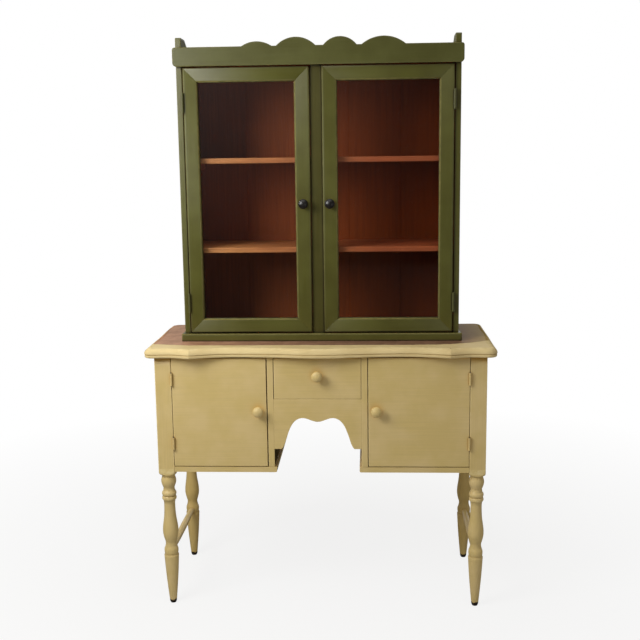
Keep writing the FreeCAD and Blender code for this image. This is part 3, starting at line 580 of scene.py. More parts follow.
@dataclass(frozen=True, kw_only=True)
class DippedFootPaint(BrushedPaint):
    """The stand's paint on a turned leg, whose tip is bare, dark, scuffed wood up to a ragged line."""

    tip: str = "#2A1E17"
    bare_to: float = 5.5 * MM
    whole_from: float = 8 * MM
    raggedness: float = 9 * MM

    def surface(self, nodes: Nodes) -> Socket:
        """The paint and the tip."""
        colour, marks = self.coat(nodes)
        place = nodes.place()
        ragged = nodes.noise(place, 9 * MM, 3.0)
        lifted = nodes.math("MULTIPLY_ADD", ragged, -self.raggedness, nodes.parts(place)["Z"])
        bare = nodes.ramp(lifted, self.bare_to, self.whole_from, 1.0, 0.0)
        return self.painted(nodes, nodes.mix(bare, colour, self.tip), marks)


@dataclass(frozen=True, kw_only=True)
class ScrubbedTop(BrushedPaint):
    """The table top: a cream band along the front, and behind it an old pink-brown coat, scrubbed thin.

    The old coat is lighter towards the window on the left and darker towards the right, as painted light and
    shade, and it turns khaki at the right-hand end.
    """

    old_coat: str = "#A37C62"
    old_thin: str = "#856249"
    mottle: float = 45 * MM
    khaki: str = "#A08853"
    khaki_from: float = 385 * MM
    half_width: float = 480 * MM
    painted_light_from: float = -470 * MM
    painted_light_to: float = 100 * MM
    band_line: float = -143 * MM
    right_turn: float = 200 * MM
    right_rise: float = 70 * MM
    left_turn: float = -370 * MM
    left_share: float = 0.32
    raggedness: float = 12 * MM

    def surface(self, nodes: Nodes) -> Socket:
        """The two paints."""
        colour, marks = self.coat(nodes)
        place = nodes.place()
        x = nodes.parts(place)["X"]
        spread = nodes.ramp(nodes.noise(place, self.mottle, 6.0, 0.7), 0.38, 0.66)
        old = nodes.mix(spread, self.old_coat, self.old_thin)
        # Painted light and shade: the old coat is lighter towards the window on the left and darker to the
        # right.
        painted_light_old = nodes.times(old, nodes.ramp(x, self.painted_light_from, self.painted_light_to, 1.3, 0.6))
        ended = nodes.mix(nodes.ramp(x, self.khaki_from, self.half_width), painted_light_old, self.khaki)
        return self.painted(nodes, nodes.mix(self.behind_band(nodes, place), colour, ended), marks)

    def behind_band(self, nodes: Nodes, place: Socket) -> Socket:
        """One behind the cream band on the upper face, and nought elsewhere.

        The band's line runs straight, sweeps back steeply towards the right-hand end as a power of
        the way there, and moves back a little at the left-hand end. Its edge is ragged.
        """
        parts = nodes.parts(place)
        steep = nodes.math("POWER", nodes.ramp(parts["X"], self.right_turn, self.half_width), 3.5)
        turn = nodes.math("ADD", steep, nodes.ramp(parts["X"], self.left_turn, -self.half_width, 0.0,
                                                   self.left_share))
        line = nodes.math("MULTIPLY_ADD", turn, self.right_rise, self.band_line)
        depth = nodes.math("SUBTRACT", parts["Y"], line)
        ragged = nodes.math("MULTIPLY_ADD", nodes.noise(place, 22 * MM, 4.0), self.raggedness, depth)
        normal = add_node(nodes.tree, "NewGeometry").outputs["Normal"]
        upper = nodes.ramp(nodes.parts(normal)["Z"], 0.9, 0.97)
        return nodes.math("MULTIPLY", nodes.ramp(ragged, 4.5 * MM, 8 * MM), upper)


@dataclass(frozen=True, kw_only=True)
class GalleryPaint(BrushedPaint):
    """The cabinet's paint down to the top board, and below it the red-brown stain of the inside, deeper and
    redder towards the right as painted shade.
    """

    stain: str = "#9A4B27"
    right_stain: str = "#7F350B"
    turn: float = 80 * MM
    line: float = 1540 * MM

    def surface(self, nodes: Nodes) -> Socket:
        """The paint and the stain."""
        colour, marks = self.coat(nodes)
        parts = nodes.parts(nodes.place())
        # Towards the right the stain turns deeper and redder: painted shade.
        stain = nodes.mix(nodes.ramp(parts["X"], -self.turn, self.turn), self.stain, self.right_stain)
        wood = nodes.times(stain, nodes.ramp(marks, *MOST, 0.8, 1.15))
        above = nodes.math("GREATER_THAN", parts["Z"], self.line)
        return self.painted(nodes, nodes.mix(above, wood, colour), marks)


@dataclass(frozen=True, kw_only=True)
class Pine(Finish):
    """Pine with its grain: bare, or under a thin red-brown stain that the soft spring wood drinks most of.

    Towards the right, away from the window, a tint deepens the colour as painted shade.
    """

    pale: str
    dark: str
    roughness: float = 0.55
    specular: float = 0.4
    painted_shade_tint: str = WHITE
    painted_shade_from: float = -250 * MM
    painted_shade_full: float = 150 * MM
    ring_width: float = 11 * MM
    ring_length: float = 260 * MM
    patch: float = 110 * MM

    def surface(self, nodes: Nodes) -> Socket:
        """The wood."""
        place = nodes.place()
        rings = nodes.streaks(place, self.strokes, self.ring_width, self.ring_length, 4.0, 0.8)
        tone = nodes.mix(nodes.ramp(rings, 0.34, 0.66), self.pale, self.dark)
        # Painted shade: the colour deepens towards the right, away from the window.
        rightward_shade = nodes.ramp(nodes.parts(place)["X"], self.painted_shade_from, self.painted_shade_full)
        shade_tinted = nodes.mix(rightward_shade, tone, self.painted_shade_tint, "MULTIPLY")
        colour = nodes.times(shade_tinted, nodes.ramp(nodes.noise(place, self.patch, 3.0), *MOST, 0.82, 1.14))
        dull = nodes.ramp(rings, *MOST, self.roughness - 0.08, self.roughness + 0.1)
        return nodes.coated(colour, dull, self.specular, rings, 0.25, 0.4 * MM)


@dataclass(frozen=True)
class WindowGlass(Finish):
    """Old drawn window glass: clear, faintly green, with a slow waviness that its mesh holds.

    A ray from a lamp, or one that a matt surface scattered, passes straight through, so that the
    shelves behind are lit as through an open door.
    """

    tint: str = "#F4F8F3"
    clear_tint: str = "#F2F6F1"

    def surface(self, nodes: Nodes) -> Socket:
        """The glass."""
        haze = nodes.ramp(nodes.noise(nodes.place(), 90 * MM, 3.0), 0.35, 0.75, 0.01, 0.07)
        pane = nodes.shader("BsdfPrincipled", {"Base Color": self.tint, "Transmission Weight": 1.0,
                                               "IOR": 1.5, "Roughness": haze})
        clear = nodes.shader("BsdfTransparent", {"Color": self.clear_tint})
        way = nodes.way()
        return nodes.either(nodes.math("MAXIMUM", way["Is Shadow Ray"], way["Is Diffuse Ray"]), pane, clear)


@dataclass(frozen=True, kw_only=True)
class Enamel(Finish):
    """Stoved enamel or old paint on metal: smooth, with a few dull finger marks."""

    colour: str
    roughness: float = 0.25
    metallic: float = 0.0

    def surface(self, nodes: Nodes) -> Socket:
        """The enamel."""
        marks = nodes.noise(nodes.place(), 6 * MM, 4.0)
        tone = nodes.times(self.colour, nodes.ramp(marks, *MOST, 0.85, 1.15))
        dull = nodes.ramp(marks, 0.35, 0.7, self.roughness, self.roughness + 0.15)
        return nodes.shader("BsdfPrincipled", {"Metallic": self.metallic, "Base Color": tone,
                                               "Roughness": dull})


@dataclass(frozen=True)
class FloorPaint(Finish):
    """A pale floor that keeps the hutch's soft shadow and fades to white away from it.

    Mirror rays see the dim room in it.
    """

    matt: str = "#CFCECB"
    white_share: float = 0.84
    white_from: float = 0.6
    white_full: float = 2.2
    mirrored: float = 0.04

    def surface(self, nodes: Nodes) -> Socket:
        """The floor."""
        way = nodes.way()
        distance = add_node(nodes.tree, "VectorMath", {0: nodes.place()}, operation="LENGTH")
        whitened = nodes.ramp(distance.outputs["Value"], self.white_from, self.white_full,
                              self.white_share, 1.0)
        seen = nodes.seen(way, 0.5)
        plain = nodes.shader("BsdfDiffuse", {"Color": self.matt})
        white = nodes.shader("Emission", {"Color": WHITE, "Strength": 1.0})
        both = nodes.either(nodes.math("MULTIPLY", seen, whitened), plain, white)
        room = nodes.shader("Emission", {"Color": WHITE, "Strength": self.mirrored})
        return nodes.either(nodes.math("SUBTRACT", way["Is Glossy Ray"], seen), both, room)


CREAM_COLOURS = {"body": "#CBB374", "thin": "#D2BA81", "worn": "#E3D29E", "grime_and_shade": "#7A5A22"}
GREEN_COLOURS = {"body": "#4E4C18", "thin": "#55541E", "worn": "#7D723E", "grime_and_shade": "#1A1704"}

# The stand's khaki-cream oil paint yellows in patches and rubs paler at the arrises.
CREAM = BrushedPaint("cream_oil_paint", **CREAM_COLOURS)
# The legs have the same paint, and dark scuffed tips.
LEG_PAINT = DippedFootPaint("cream_oil_paint_turned", **CREAM_COLOURS)
# The rear legs' paint is darker, as painted shade.
REAR_LEG_PAINT = DippedFootPaint("painted_shade_cream_oil_paint_turned", body="#C0A561", thin="#C7AD6D",
                                 worn="#D2BC85", grime_and_shade="#6E5020")
# The top's paint is scrubbed matt.
TOP_PAINT = ScrubbedTop("cream_and_scrubbed_paint", Strokes.ACROSS, body="#D5C08D", thin="#CCB683",
                        worn="#E2D2A2", grime_and_shade="#7A5A22", roughness=0.55, specular=0.12, corner_grime_and_shade=0.5)
# The cabinet's olive-green oil paint is a deep, glossier coat that rubs to a straw-coloured ground.
GREEN = BrushedPaint("green_oil_paint", **GREEN_COLOURS, roughness=0.36, specular=0.6, stroke_relief=0.05,
                     corner_grime_and_shade=0.85, corner_reach=9 * MM)
# The crest, which is handled and dusted, is duller.
CREST_GREEN = replace(GREEN, name="dulled_green_oil_paint", strokes=Strokes.ACROSS, body="#4C4B20",
                      thin="#535327", specular=0.42)
# The green of the middle stile between the doors is deeper, as painted shade, and its darkened corners reach
# further.
SHADED_GREEN = BrushedPaint("painted_shade_green_oil_paint", body="#423F12", thin="#484417", worn="#6E6A3C",
                             grime_and_shade="#110F03", roughness=0.4, specular=0.4, corner_grime_and_shade=0.85,
                             corner_reach=11 * MM)
# The inner side of the boards that rise behind the crest is green above the top board.
GALLERY_GREEN = GalleryPaint("green_over_red_brown_stain", **GREEN_COLOURS, roughness=0.6, specular=0.15)
# The stain inside the cabinet is thin enough for the grain to show as darker streaks; towards the right it is
# deeper, as painted shade.
STAINED = Pine("red_brown_stained_pine", pale="#C87347", dark="#9B5435", specular=0.2, painted_shade_tint="#CFAC62")
# The shelves' lighter, orange stain is rubbed back by what slides over them; towards the right it is deeper
# and redder, as painted shade.
SHELF_WOOD = Pine("orange_stained_pine", pale="#CE8451", dark="#B36C3E", painted_shade_tint="#DDABA4")
# Unfinished pine inside the stand is darkened by age.
BARE = Pine("bare_pine", pale="#B48F62", dark="#98724A")
# Round the kneehole the bare pine is given a dark brown-black colour.
DARK_KNEEHOLE_PINE = Pine("dark_kneehole_pine", pale="#5A470F", dark="#3C2D08", roughness=0.8, specular=0.05)
# The panes hardly show but for a faint haze and reflections that waver.
GLASS = WindowGlass("drawn_window_glass")
# The black knobs catch small bright highlights.
BLACK_ENAMEL = Enamel("black_enamel", colour="#1D1A19")
# The pins of the stand's hinges are bare steel, dulled by age.
PIN_STEEL = Enamel("dull_steel", colour="#77736C", roughness=0.4, metallic=1.0)
# The hinges were painted over together with the wood, so that they nearly vanish on it.
CREAM_HINGE = Enamel("cream_paint_on_steel", colour="#C9B075", roughness=0.5)
GREEN_HINGE = Enamel("green_paint_on_steel", colour="#4B4A1E", roughness=0.5)
# The floor is so white that nothing but the hutch's soft shadow shows on it.
FLOOR_PAINT = FloorPaint("white_painted_floor")


# Pieces


def box_of(node: str) -> tuple[Array, Array]:
    """The lowest and highest corners of a CAD node."""
    low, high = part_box(node)
    return np.array(low), np.array(high)


def add_object(name: str, data: bpy.types.ID) -> bpy.types.Object:
    """Puts a new object with that data into the scene."""
    new = bpy.data.objects.new(name, data)
    bpy.context.scene.collection.objects.link(new)
    return new


def place_piece(node: str, surface: Surface, *finishes: Finish) -> bpy.types.Object:
    """A dressed piece that stands for a CAD node and moves with the node's body.

    Args:
        node: the CAD node.
        surface: the piece's closed surface.
        finishes: its finishes, in the order that the surface's faces number them.

    Returns:
        The new object.
    """
    name = "dressed_" + node
    mesh = bpy.data.meshes.new(name)
    mesh.from_pydata(surface.points.tolist(), [], surface.faces)
    mesh.polygons.foreach_set("use_smooth", np.array([len(face) == 4 for face in surface.faces]))
    mesh.polygons.foreach_set("material_index", np.array(surface.finishes))
    mesh.attributes.new("wear", "FLOAT", "POINT").data.foreach_set("value", surface.wear.astype(np.float32))
    for finish in finishes:
        mesh.materials.append(finish.material())
    mesh.validate()
    piece = add_object(name, mesh)
    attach(piece, frame["nodes"][node]["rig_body"])
    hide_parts(node)
    LOG.info("%s: %d faces, %s", name, len(mesh.polygons), ", ".join(f.name for f in finishes))
    return piece


def dress_nodes(finish: Finish, *nodes: str) -> None:
    """Gives CAD nodes, whose own shapes are right, their finish."""
    for node in nodes:
        mesh = frame["nodes"][node].data
        mesh.materials.clear()
        mesh.materials.append(finish.material())
        LOG.info("%s: CAD mesh, %s", node, finish.name)


def board(low: Array, high: Array, plane: Plane, ease: float = 1.1 * MM, corner: float = 1.2 * MM,
          seed: int = 0, cap_finishes: tuple[int, int] = (0, 0)) -> Surface:
    """A straight board that fills a box, with hand-eased arrises.

    Args:
        low: the box's lowest corner.
        high: the box's highest corner.
        plane: the plane of its broad faces.
        ease: the radius of the arrises round the broad faces.
        corner: the radius of the outline's corners.
        seed: picks the unevenness.
        cap_finishes: which of the piece's finishes the two broad faces get.

    Returns:
        The surface.
    """
    first, second, third = plane.value
    outline = rounded_rectangle(low[[first, second]], high[[first, second]], 0.0, 1)
    edge = eased_edge(high[third] - low[third], ease)
    return carried(divided(outline, spacing=18 * MM), edge, plane, low[third], seed, corner, cap_finishes)


def place_board(node: str, plane: Plane, *finishes: Finish, **shape: float | tuple[int, int]) -> None:
    """Places a straight board where the CAD node has it, shaped as board() takes it."""
    place_piece(node, board(*box_of(node), plane, seed=len(node), **shape), *finishes)


@dataclass
class TurnedKnob:
    """A turned knob: a flared base, a waist and a domed head."""

    radius: float
    base_radius: float
    waist_radius: float
    waist_depth: float
    widest_depth: float
    depth: float

    def profile(self) -> Array:
        """Radii and depths from the base to the crown, as three smooth stretches."""
        base, waist = (self.base_radius, 0), (self.waist_radius, self.waist_depth)
        widest, crown = (self.radius, self.widest_depth), (0.2 * MM, self.depth)
        inward, out, up = (-1, 0), (1, 0), (0, 1)
        return np.vstack([smooth_curve([base, waist], 7, inward, up),
                          smooth_curve([waist, widest], 12, out, up)[1:],
                          smooth_curve([widest, crown], 12, up, inward)[1:]])

    def place(self, node: str, face_y: float, finish: Finish) -> None:
        """Places the knob where the CAD node has it, standing on a front face."""
        x, _, z = sum(box_of(node)) / 2
        place_piece(node, turned(self.profile(), np.array([x, face_y, z]), (0, -1, 0)), finish)


WOOD_KNOB = TurnedKnob(15 * MM, 9.5 * MM, 7.5 * MM, 7.5 * MM, 18.5 * MM, 28 * MM)
BLACK_KNOB = TurnedKnob(14 * MM, 9 * MM, 6.5 * MM, 8 * MM, 18 * MM, 27 * MM)


@dataclass
class TableTop:
    """The serpentine top: its plan, and the nose, quirk and fillet of its edge."""

    cusp_distance: float = 358 * MM
    hollow_depth: float = 24 * MM
    front_shares: tuple = ((0.0, 0.19), (0.15, 0.35), (0.31, 0.69), (0.46, 0.89),
                           (0.62, 1.0), (0.75, 0.92), (0.88, 0.54), (1.0, 0.0))
    outer_hollow_share: float = 0.635
    outer_hollow_set_back: float = 15.5 * MM
    shoulder_set_back: float = 11.5 * MM
    front_corner: tuple = (26 * MM, 24 * MM)
    back_corner: float = 30 * MM
    nose_radius: float = 15 * MM
    fillet_height: float = 9 * MM
    fillet_set_back: float = 1 * MM
    fillet_rounding: float = 4 * MM
    quirk_height: float = 1.5 * MM
    quirk_set_back: float = 2.2 * MM

    def outline(self) -> Array:
        """The plan: the right half as smooth curves between corner points, and its mirror image."""
        (_, front, _), (half, back, _) = box_of("table_top")
        line = np.array(self.front_shares) * [self.cusp_distance, self.hollow_depth] + [0, front]
        bulge = smooth_curve(np.vstack([line[:0:-1] * [-1, 1], line]), 181)[90:]
        cusp = line[-1]
        shoulder = np.array([half - self.front_corner[0], front + self.shoulder_set_back])
        hollow = np.array([cusp[0] + (shoulder[0] - cusp[0]) * self.outer_hollow_share,
                           front + self.outer_hollow_set_back])
        outer = smooth_curve([cusp, hollow, shoulder], 30, hollow - cusp, (1, 0))[1:]
        turn = arc(shoulder + [0, self.front_corner[1]], self.front_corner, -QUARTER, 0, 10)[1:]
        back_centre = (half - self.back_corner, back - self.back_corner)
        back_turn = arc(back_centre, self.back_corner, 0, QUARTER, 10)[1:]
        right = np.vstack([bulge, outer, turn, back_turn])
        return np.vstack([right, right[:0:-1] * [-1, 1]])

    def edge(self, thickness: float) -> Array:
        """Insets, heights and wear from the underside up: the fillet, the quirk and the round nose."""
        soft, softer = 0.5 * MM, 0.3 * MM
        step, bed, shelf = self.fillet_set_back, self.quirk_set_back, self.fillet_height
        quirk_top = shelf + self.quirk_height
        rise = np.linspace(0, QUARTER, 7)
        rounding = np.column_stack([step + self.fillet_rounding * (1 - np.sin(rise)),
                                    self.fillet_rounding * (1 - np.cos(rise)), 0.4 * np.sin(2 * rise)])
        quirk = [[step, shelf - soft, 0.5], [step + 0.3 * soft, shelf - 0.3 * soft, 0.6],
                 [step + soft, shelf, 0.5], [bed, shelf + softer, 0], [bed, quirk_top - softer, 0],
                 [soft, quirk_top, 0.3], [0, quirk_top + soft, 0.5]]
        turn = np.linspace(0, QUARTER, 12)
        # The nose's wear grows towards its top and lightens it there: partly rubbed paint, partly a painted
        # highlight.
        nose = np.column_stack([self.nose_radius * (1 - np.cos(turn)),
                                thickness - self.nose_radius * (1 - np.sin(turn)),
                                0.2 + 0.5 * np.sin(turn) ** 2])
        return np.vstack([rounding, quirk, nose, [[self.nose_radius + 4 * MM, thickness, 0]]])

    def build(self) -> None:
        """Places the table top."""
        low, high = box_of("table_top")
        outline = divided(self.outline(), spacing=8 * MM)
        surface = carried(outline, self.edge(high[2] - low[2]), Plane.FLOOR, low[2], seed=5)
        surface.points[:, :2] = np.clip(surface.points[:, :2], low[:2], high[:2])
        place_piece("table_top", surface, TOP_PAINT)


@dataclass
class TurnedLegs:
    """The four legs, each turned below a square post, and the two side stretchers.

    Points of the turning are a radius and a height. A bead is its radius at the edges and at the
    middle, and its lower and upper heights.
    """

    tip_radius: float = 7.5 * MM
    foot: tuple = (9.8 * MM, 5 * MM)
    taper_swell: tuple = (18.2 * MM, 100 * MM)
    taper_top: tuple = (21 * MM, 148 * MM)
    lower_bead: tuple = (18 * MM, 20.2 * MM, 151 * MM, 171 * MM)
    neck_radius: float = 15.6 * MM
    lower_neck: tuple = (181 * MM, 188 * MM)
    vase: tuple = (21.8 * MM, 214 * MM)
    vase_shoulder: tuple = (17.6 * MM, 262 * MM)
    upper_neck: float = 303 * MM
    upper_bead: tuple = (17 * MM, 20.6 * MM, 314 * MM, 327 * MM)
    top_bead: tuple = (17 * MM, 20.6 * MM, 327 * MM, 341 * MM)
    cup_neck: float = 351 * MM
    cup: tuple = (21.2 * MM, 374 * MM)
    cup_top: tuple = (18 * MM, 386 * MM)
    collar: tuple = (21.2 * MM, 392 * MM)
    shoulder: tuple = (33 * MM, 412 * MM)
    beyond_post: float = 60 * MM
    post_ease: float = 1.6 * MM
    points_around: int = 192
    gathering: float = 0.2
    worn_from: float = 1.3
    worn_within: float = 0.08
    stretcher_radius: float = 10 * MM
    stretcher_end_radius: float = 7.5 * MM

    def bead(self, edge: float, widest: float, bottom: float, top: float) -> Array:
        """A half-round ring: the root of half a sine wave from its lower edge to its upper edge."""
        t = np.linspace(0, 1, 13)
        return np.column_stack([edge + (widest - edge) * np.sqrt(np.sin(math.pi * t)),
                                bottom + (top - bottom) * t])

    def profile(self, top: float) -> Array:
        """Radii and heights from the tip of the foot to the top of the post.

        Along the post the radii lie beyond its arrises, so that its square shape decides there.
        """
        neck = self.neck_radius
        swell = smooth_curve([self.foot, self.taper_swell, self.taper_top], 30)
        vase = smooth_curve([(neck, self.lower_neck[1]), self.vase, self.vase_shoulder,
                             (neck, self.upper_neck)], 44)
        cup = smooth_curve([(neck, self.cup_neck), self.cup, self.cup_top], 20)
        turn = np.linspace(0, QUARTER, 10)
        lift = np.subtract(self.shoulder, self.collar)
        lamb_tongue = np.array(self.collar) + lift * np.column_stack([np.sin(turn), 1 - np.cos(turn)])
        above = np.linspace(self.shoulder[1] + 2 * MM, top, 12)
        post = np.column_stack([np.full_like(above, self.beyond_post), above])
        return np.vstack([[[self.tip_radius, 0]], swell, self.bead(*self.lower_bead),
                          [[neck, self.lower_neck[0]]], vase, self.bead(*self.upper_bead),
                          self.bead(*self.top_bead)[1:], cup, lamb_tongue, post])

    def leg(self, node: str) -> None:
        """Places one leg.

        The radius at a height and an angle is the smaller of the turned profile there and of the
        square post, whose own radius is a high-power norm, so that its arrises are softly rounded.
        The points gather at the arrises, which are worn where the post's radius is the largest.
        """
        low, high = box_of(node)
        centre, half = (low + high) / 2, (high[0] - low[0]) / 2
        profile = self.profile(high[2])
        even = np.linspace(0, 2 * math.pi, self.points_around, endpoint=False)
        angles = even + self.gathering * np.sin(4 * even)
        cosine, sine = np.cos(angles), np.sin(angles)
        power = 2 * half / self.post_ease
        square = half / (np.abs(cosine) ** power + np.abs(sine) ** power) ** (1 / power)
        radius = np.minimum(profile[:, :1], square)
        points = np.stack([centre[0] + radius * cosine, centre[1] + radius * sine,
                           np.repeat(profile[:, 1:], self.points_around, axis=1)], axis=-1)
        arris = np.clip((square / half - self.worn_from) / self.worn_within, 0, 1)
        wear = arris * (profile[:, :1] > square)
        rows = profile[:, 0] < self.beyond_post
        wear[rows] = np.maximum(wear[rows], 0.8 * ridges(profile[rows])[:, None])
        place_piece(node, ringed(points, wear), REAR_LEG_PAINT if "rear" in node else LEG_PAINT)

    def stretcher(self, node: str) -> None:
        """Places one stretcher, thickest at its middle."""
        low, high = box_of(node)
        t = np.linspace(-1, 1, 25)
        end, middle = self.stretcher_end_radius, self.stretcher_radius
        radii = end + (middle - end) * (1 - t ** 2)
        profile = np.column_stack([radii, t * (high[1] - low[1]) / 2])
        place_piece(node, turned(profile, (low + high) / 2, (0, 1, 0)), CREAM.along(Strokes.DEEP))

    def build(self) -> None:
        """Places the legs and stretchers."""
        for row in ("front", "rear"):
            for side in SIDES:
                self.leg(f"leg_{row}_{side}")
        for side in SIDES:
            self.stretcher("stretcher_" + side)


@dataclass
class StandCarcass:
    """The boards between the posts, the kneehole and its arched apron."""

    arch_foot: float = 102 * MM
    arch_height: float = 89.5 * MM
    arch_shares: tuple = ((1.0, 0.0), (0.955, 0.07), (0.88, 0.29), (0.80, 0.56), (0.71, 0.78),
                          (0.60, 0.925), (0.42, 1.0), (0.22, 0.945), (0.0, 0.88))

    def apron(self) -> None:
        """Places the apron: a straight board whose lower edge is a smooth arch between two feet."""
        low, high = box_of("apron")
        middle = (low[0] + high[0]) / 2
        right = np.array(self.arch_shares) * [self.arch_foot, self.arch_height] + [middle, low[2]]
        left = right[-2::-1] * [-1, 1] + [2 * middle, 0]
        arch = smooth_curve(np.vstack([right, left]), 120)
        arch[:, 1] = np.maximum(arch[:, 1], low[2])
        corners = [[low[0], low[2]], [low[0], high[2]], [high[0], high[2]], [high[0], low[2]]]
        outline = divided(np.vstack([arch, corners]), spacing=12 * MM)
        edge = eased_edge(high[1] - low[1], radius=0.5 * MM, worn_width=2 * MM)
        surface = carried(outline, edge, Plane.FRONT, low[1], seed=3)
        place_piece("apron", surface, CREAM.along(Strokes.ACROSS))

    def build(self) -> None:
        """Places the boards and dresses what stays as CAD solids."""
        for side in SIDES:
            place_board("end_panel_" + side, Plane.SIDE, CREAM.along(Strokes.UPRIGHT))
        for side in SIDES:
            place_board("kneehole_wall_" + side, Plane.SIDE, CREAM.along(Strokes.UPRIGHT),
                        DARK_KNEEHOLE_PINE.along(Strokes.UPRIGHT), ease=0.8 * MM, cap_finishes=(1, 1))
        self.apron()
        dress_nodes(CREAM.along(Strokes.ACROSS), "cupboard_floor_left", "cupboard_floor_right")
        dress_nodes(BARE.along(Strokes.ACROSS), "stand_back_panel")
        dress_nodes(BARE.along(Strokes.DEEP), "drawer_runners", "top_glue_blocks")
        dress_nodes(BARE.along(Strokes.UPRIGHT), "cupboard_door_stops")


@dataclass
class CupboardDoors:
    """The stand's two slab doors with their knobs and hinges."""

    ease: float = 1 * MM
    hinge_fill: float = 0.9 * MM
    free_fills: tuple = (1.6 * MM, 0.9 * MM)
    bottom_fill: float = 0.8 * MM

    def build(self) -> None:
        """Places the doors and knobs and dresses the hinges.

        Layers of paint have partly filled the gaps round the doors, so each door is that much larger.
        """
        for number, side in enumerate(SIDES):
            door, outwards = "cupboard_door_" + side, 2 * number - 1
            corners = box_of(door)
            corners[number][0] += self.hinge_fill * outwards
            corners[1 - number][0] -= self.free_fills[number] * outwards
            corners[0][2] -= self.bottom_fill
            surface = board(*corners, Plane.FRONT, self.ease, seed=31 + number)
            place_piece(door, surface, CREAM.along(Strokes.ACROSS))
            WOOD_KNOB.place("cupboard_knob_" + side, corners[0][1], CREAM.along(Strokes.UPRIGHT))
            dress_nodes(CREAM_HINGE, "cupboard_hinge_door_leaves_" + side)
        dress_nodes(CREAM_HINGE, "cupboard_hinge_post_leaves")
        dress_nodes(PIN_STEEL, "cupboard_hinge_pins")


@dataclass
class KneeholeDrawer:
    """The small drawer: a painted front on a bare pine box."""

    ease: float = 1.2 * MM
    side_fills: tuple = (1.5 * MM, 0.5 * MM)
    bottom_fill: float = 0.7 * MM

    def build(self) -> None:
        """Places the drawer's pieces; paint has partly filled the gaps round its front."""
        low, high = box_of("drawer_front")
        low -= [self.side_fills[0], 0, self.bottom_fill]
        high[0] += self.side_fills[1]
        front = board(low, high, Plane.FRONT, self.ease, seed=12)
        place_piece("drawer_front", front, CREAM.along(Strokes.ACROSS))
        WOOD_KNOB.place("drawer_knob", low[1], CREAM.along(Strokes.UPRIGHT))
        dress_nodes(BARE.along(Strokes.DEEP), "drawer_side_left", "drawer_side_right")
        place_board("drawer_back", Plane.FRONT, BARE.along(Strokes.ACROSS))
        place_board("drawer_bottom", Plane.FLOOR, BARE.along(Strokes.DEEP), ease=0.5 * MM)


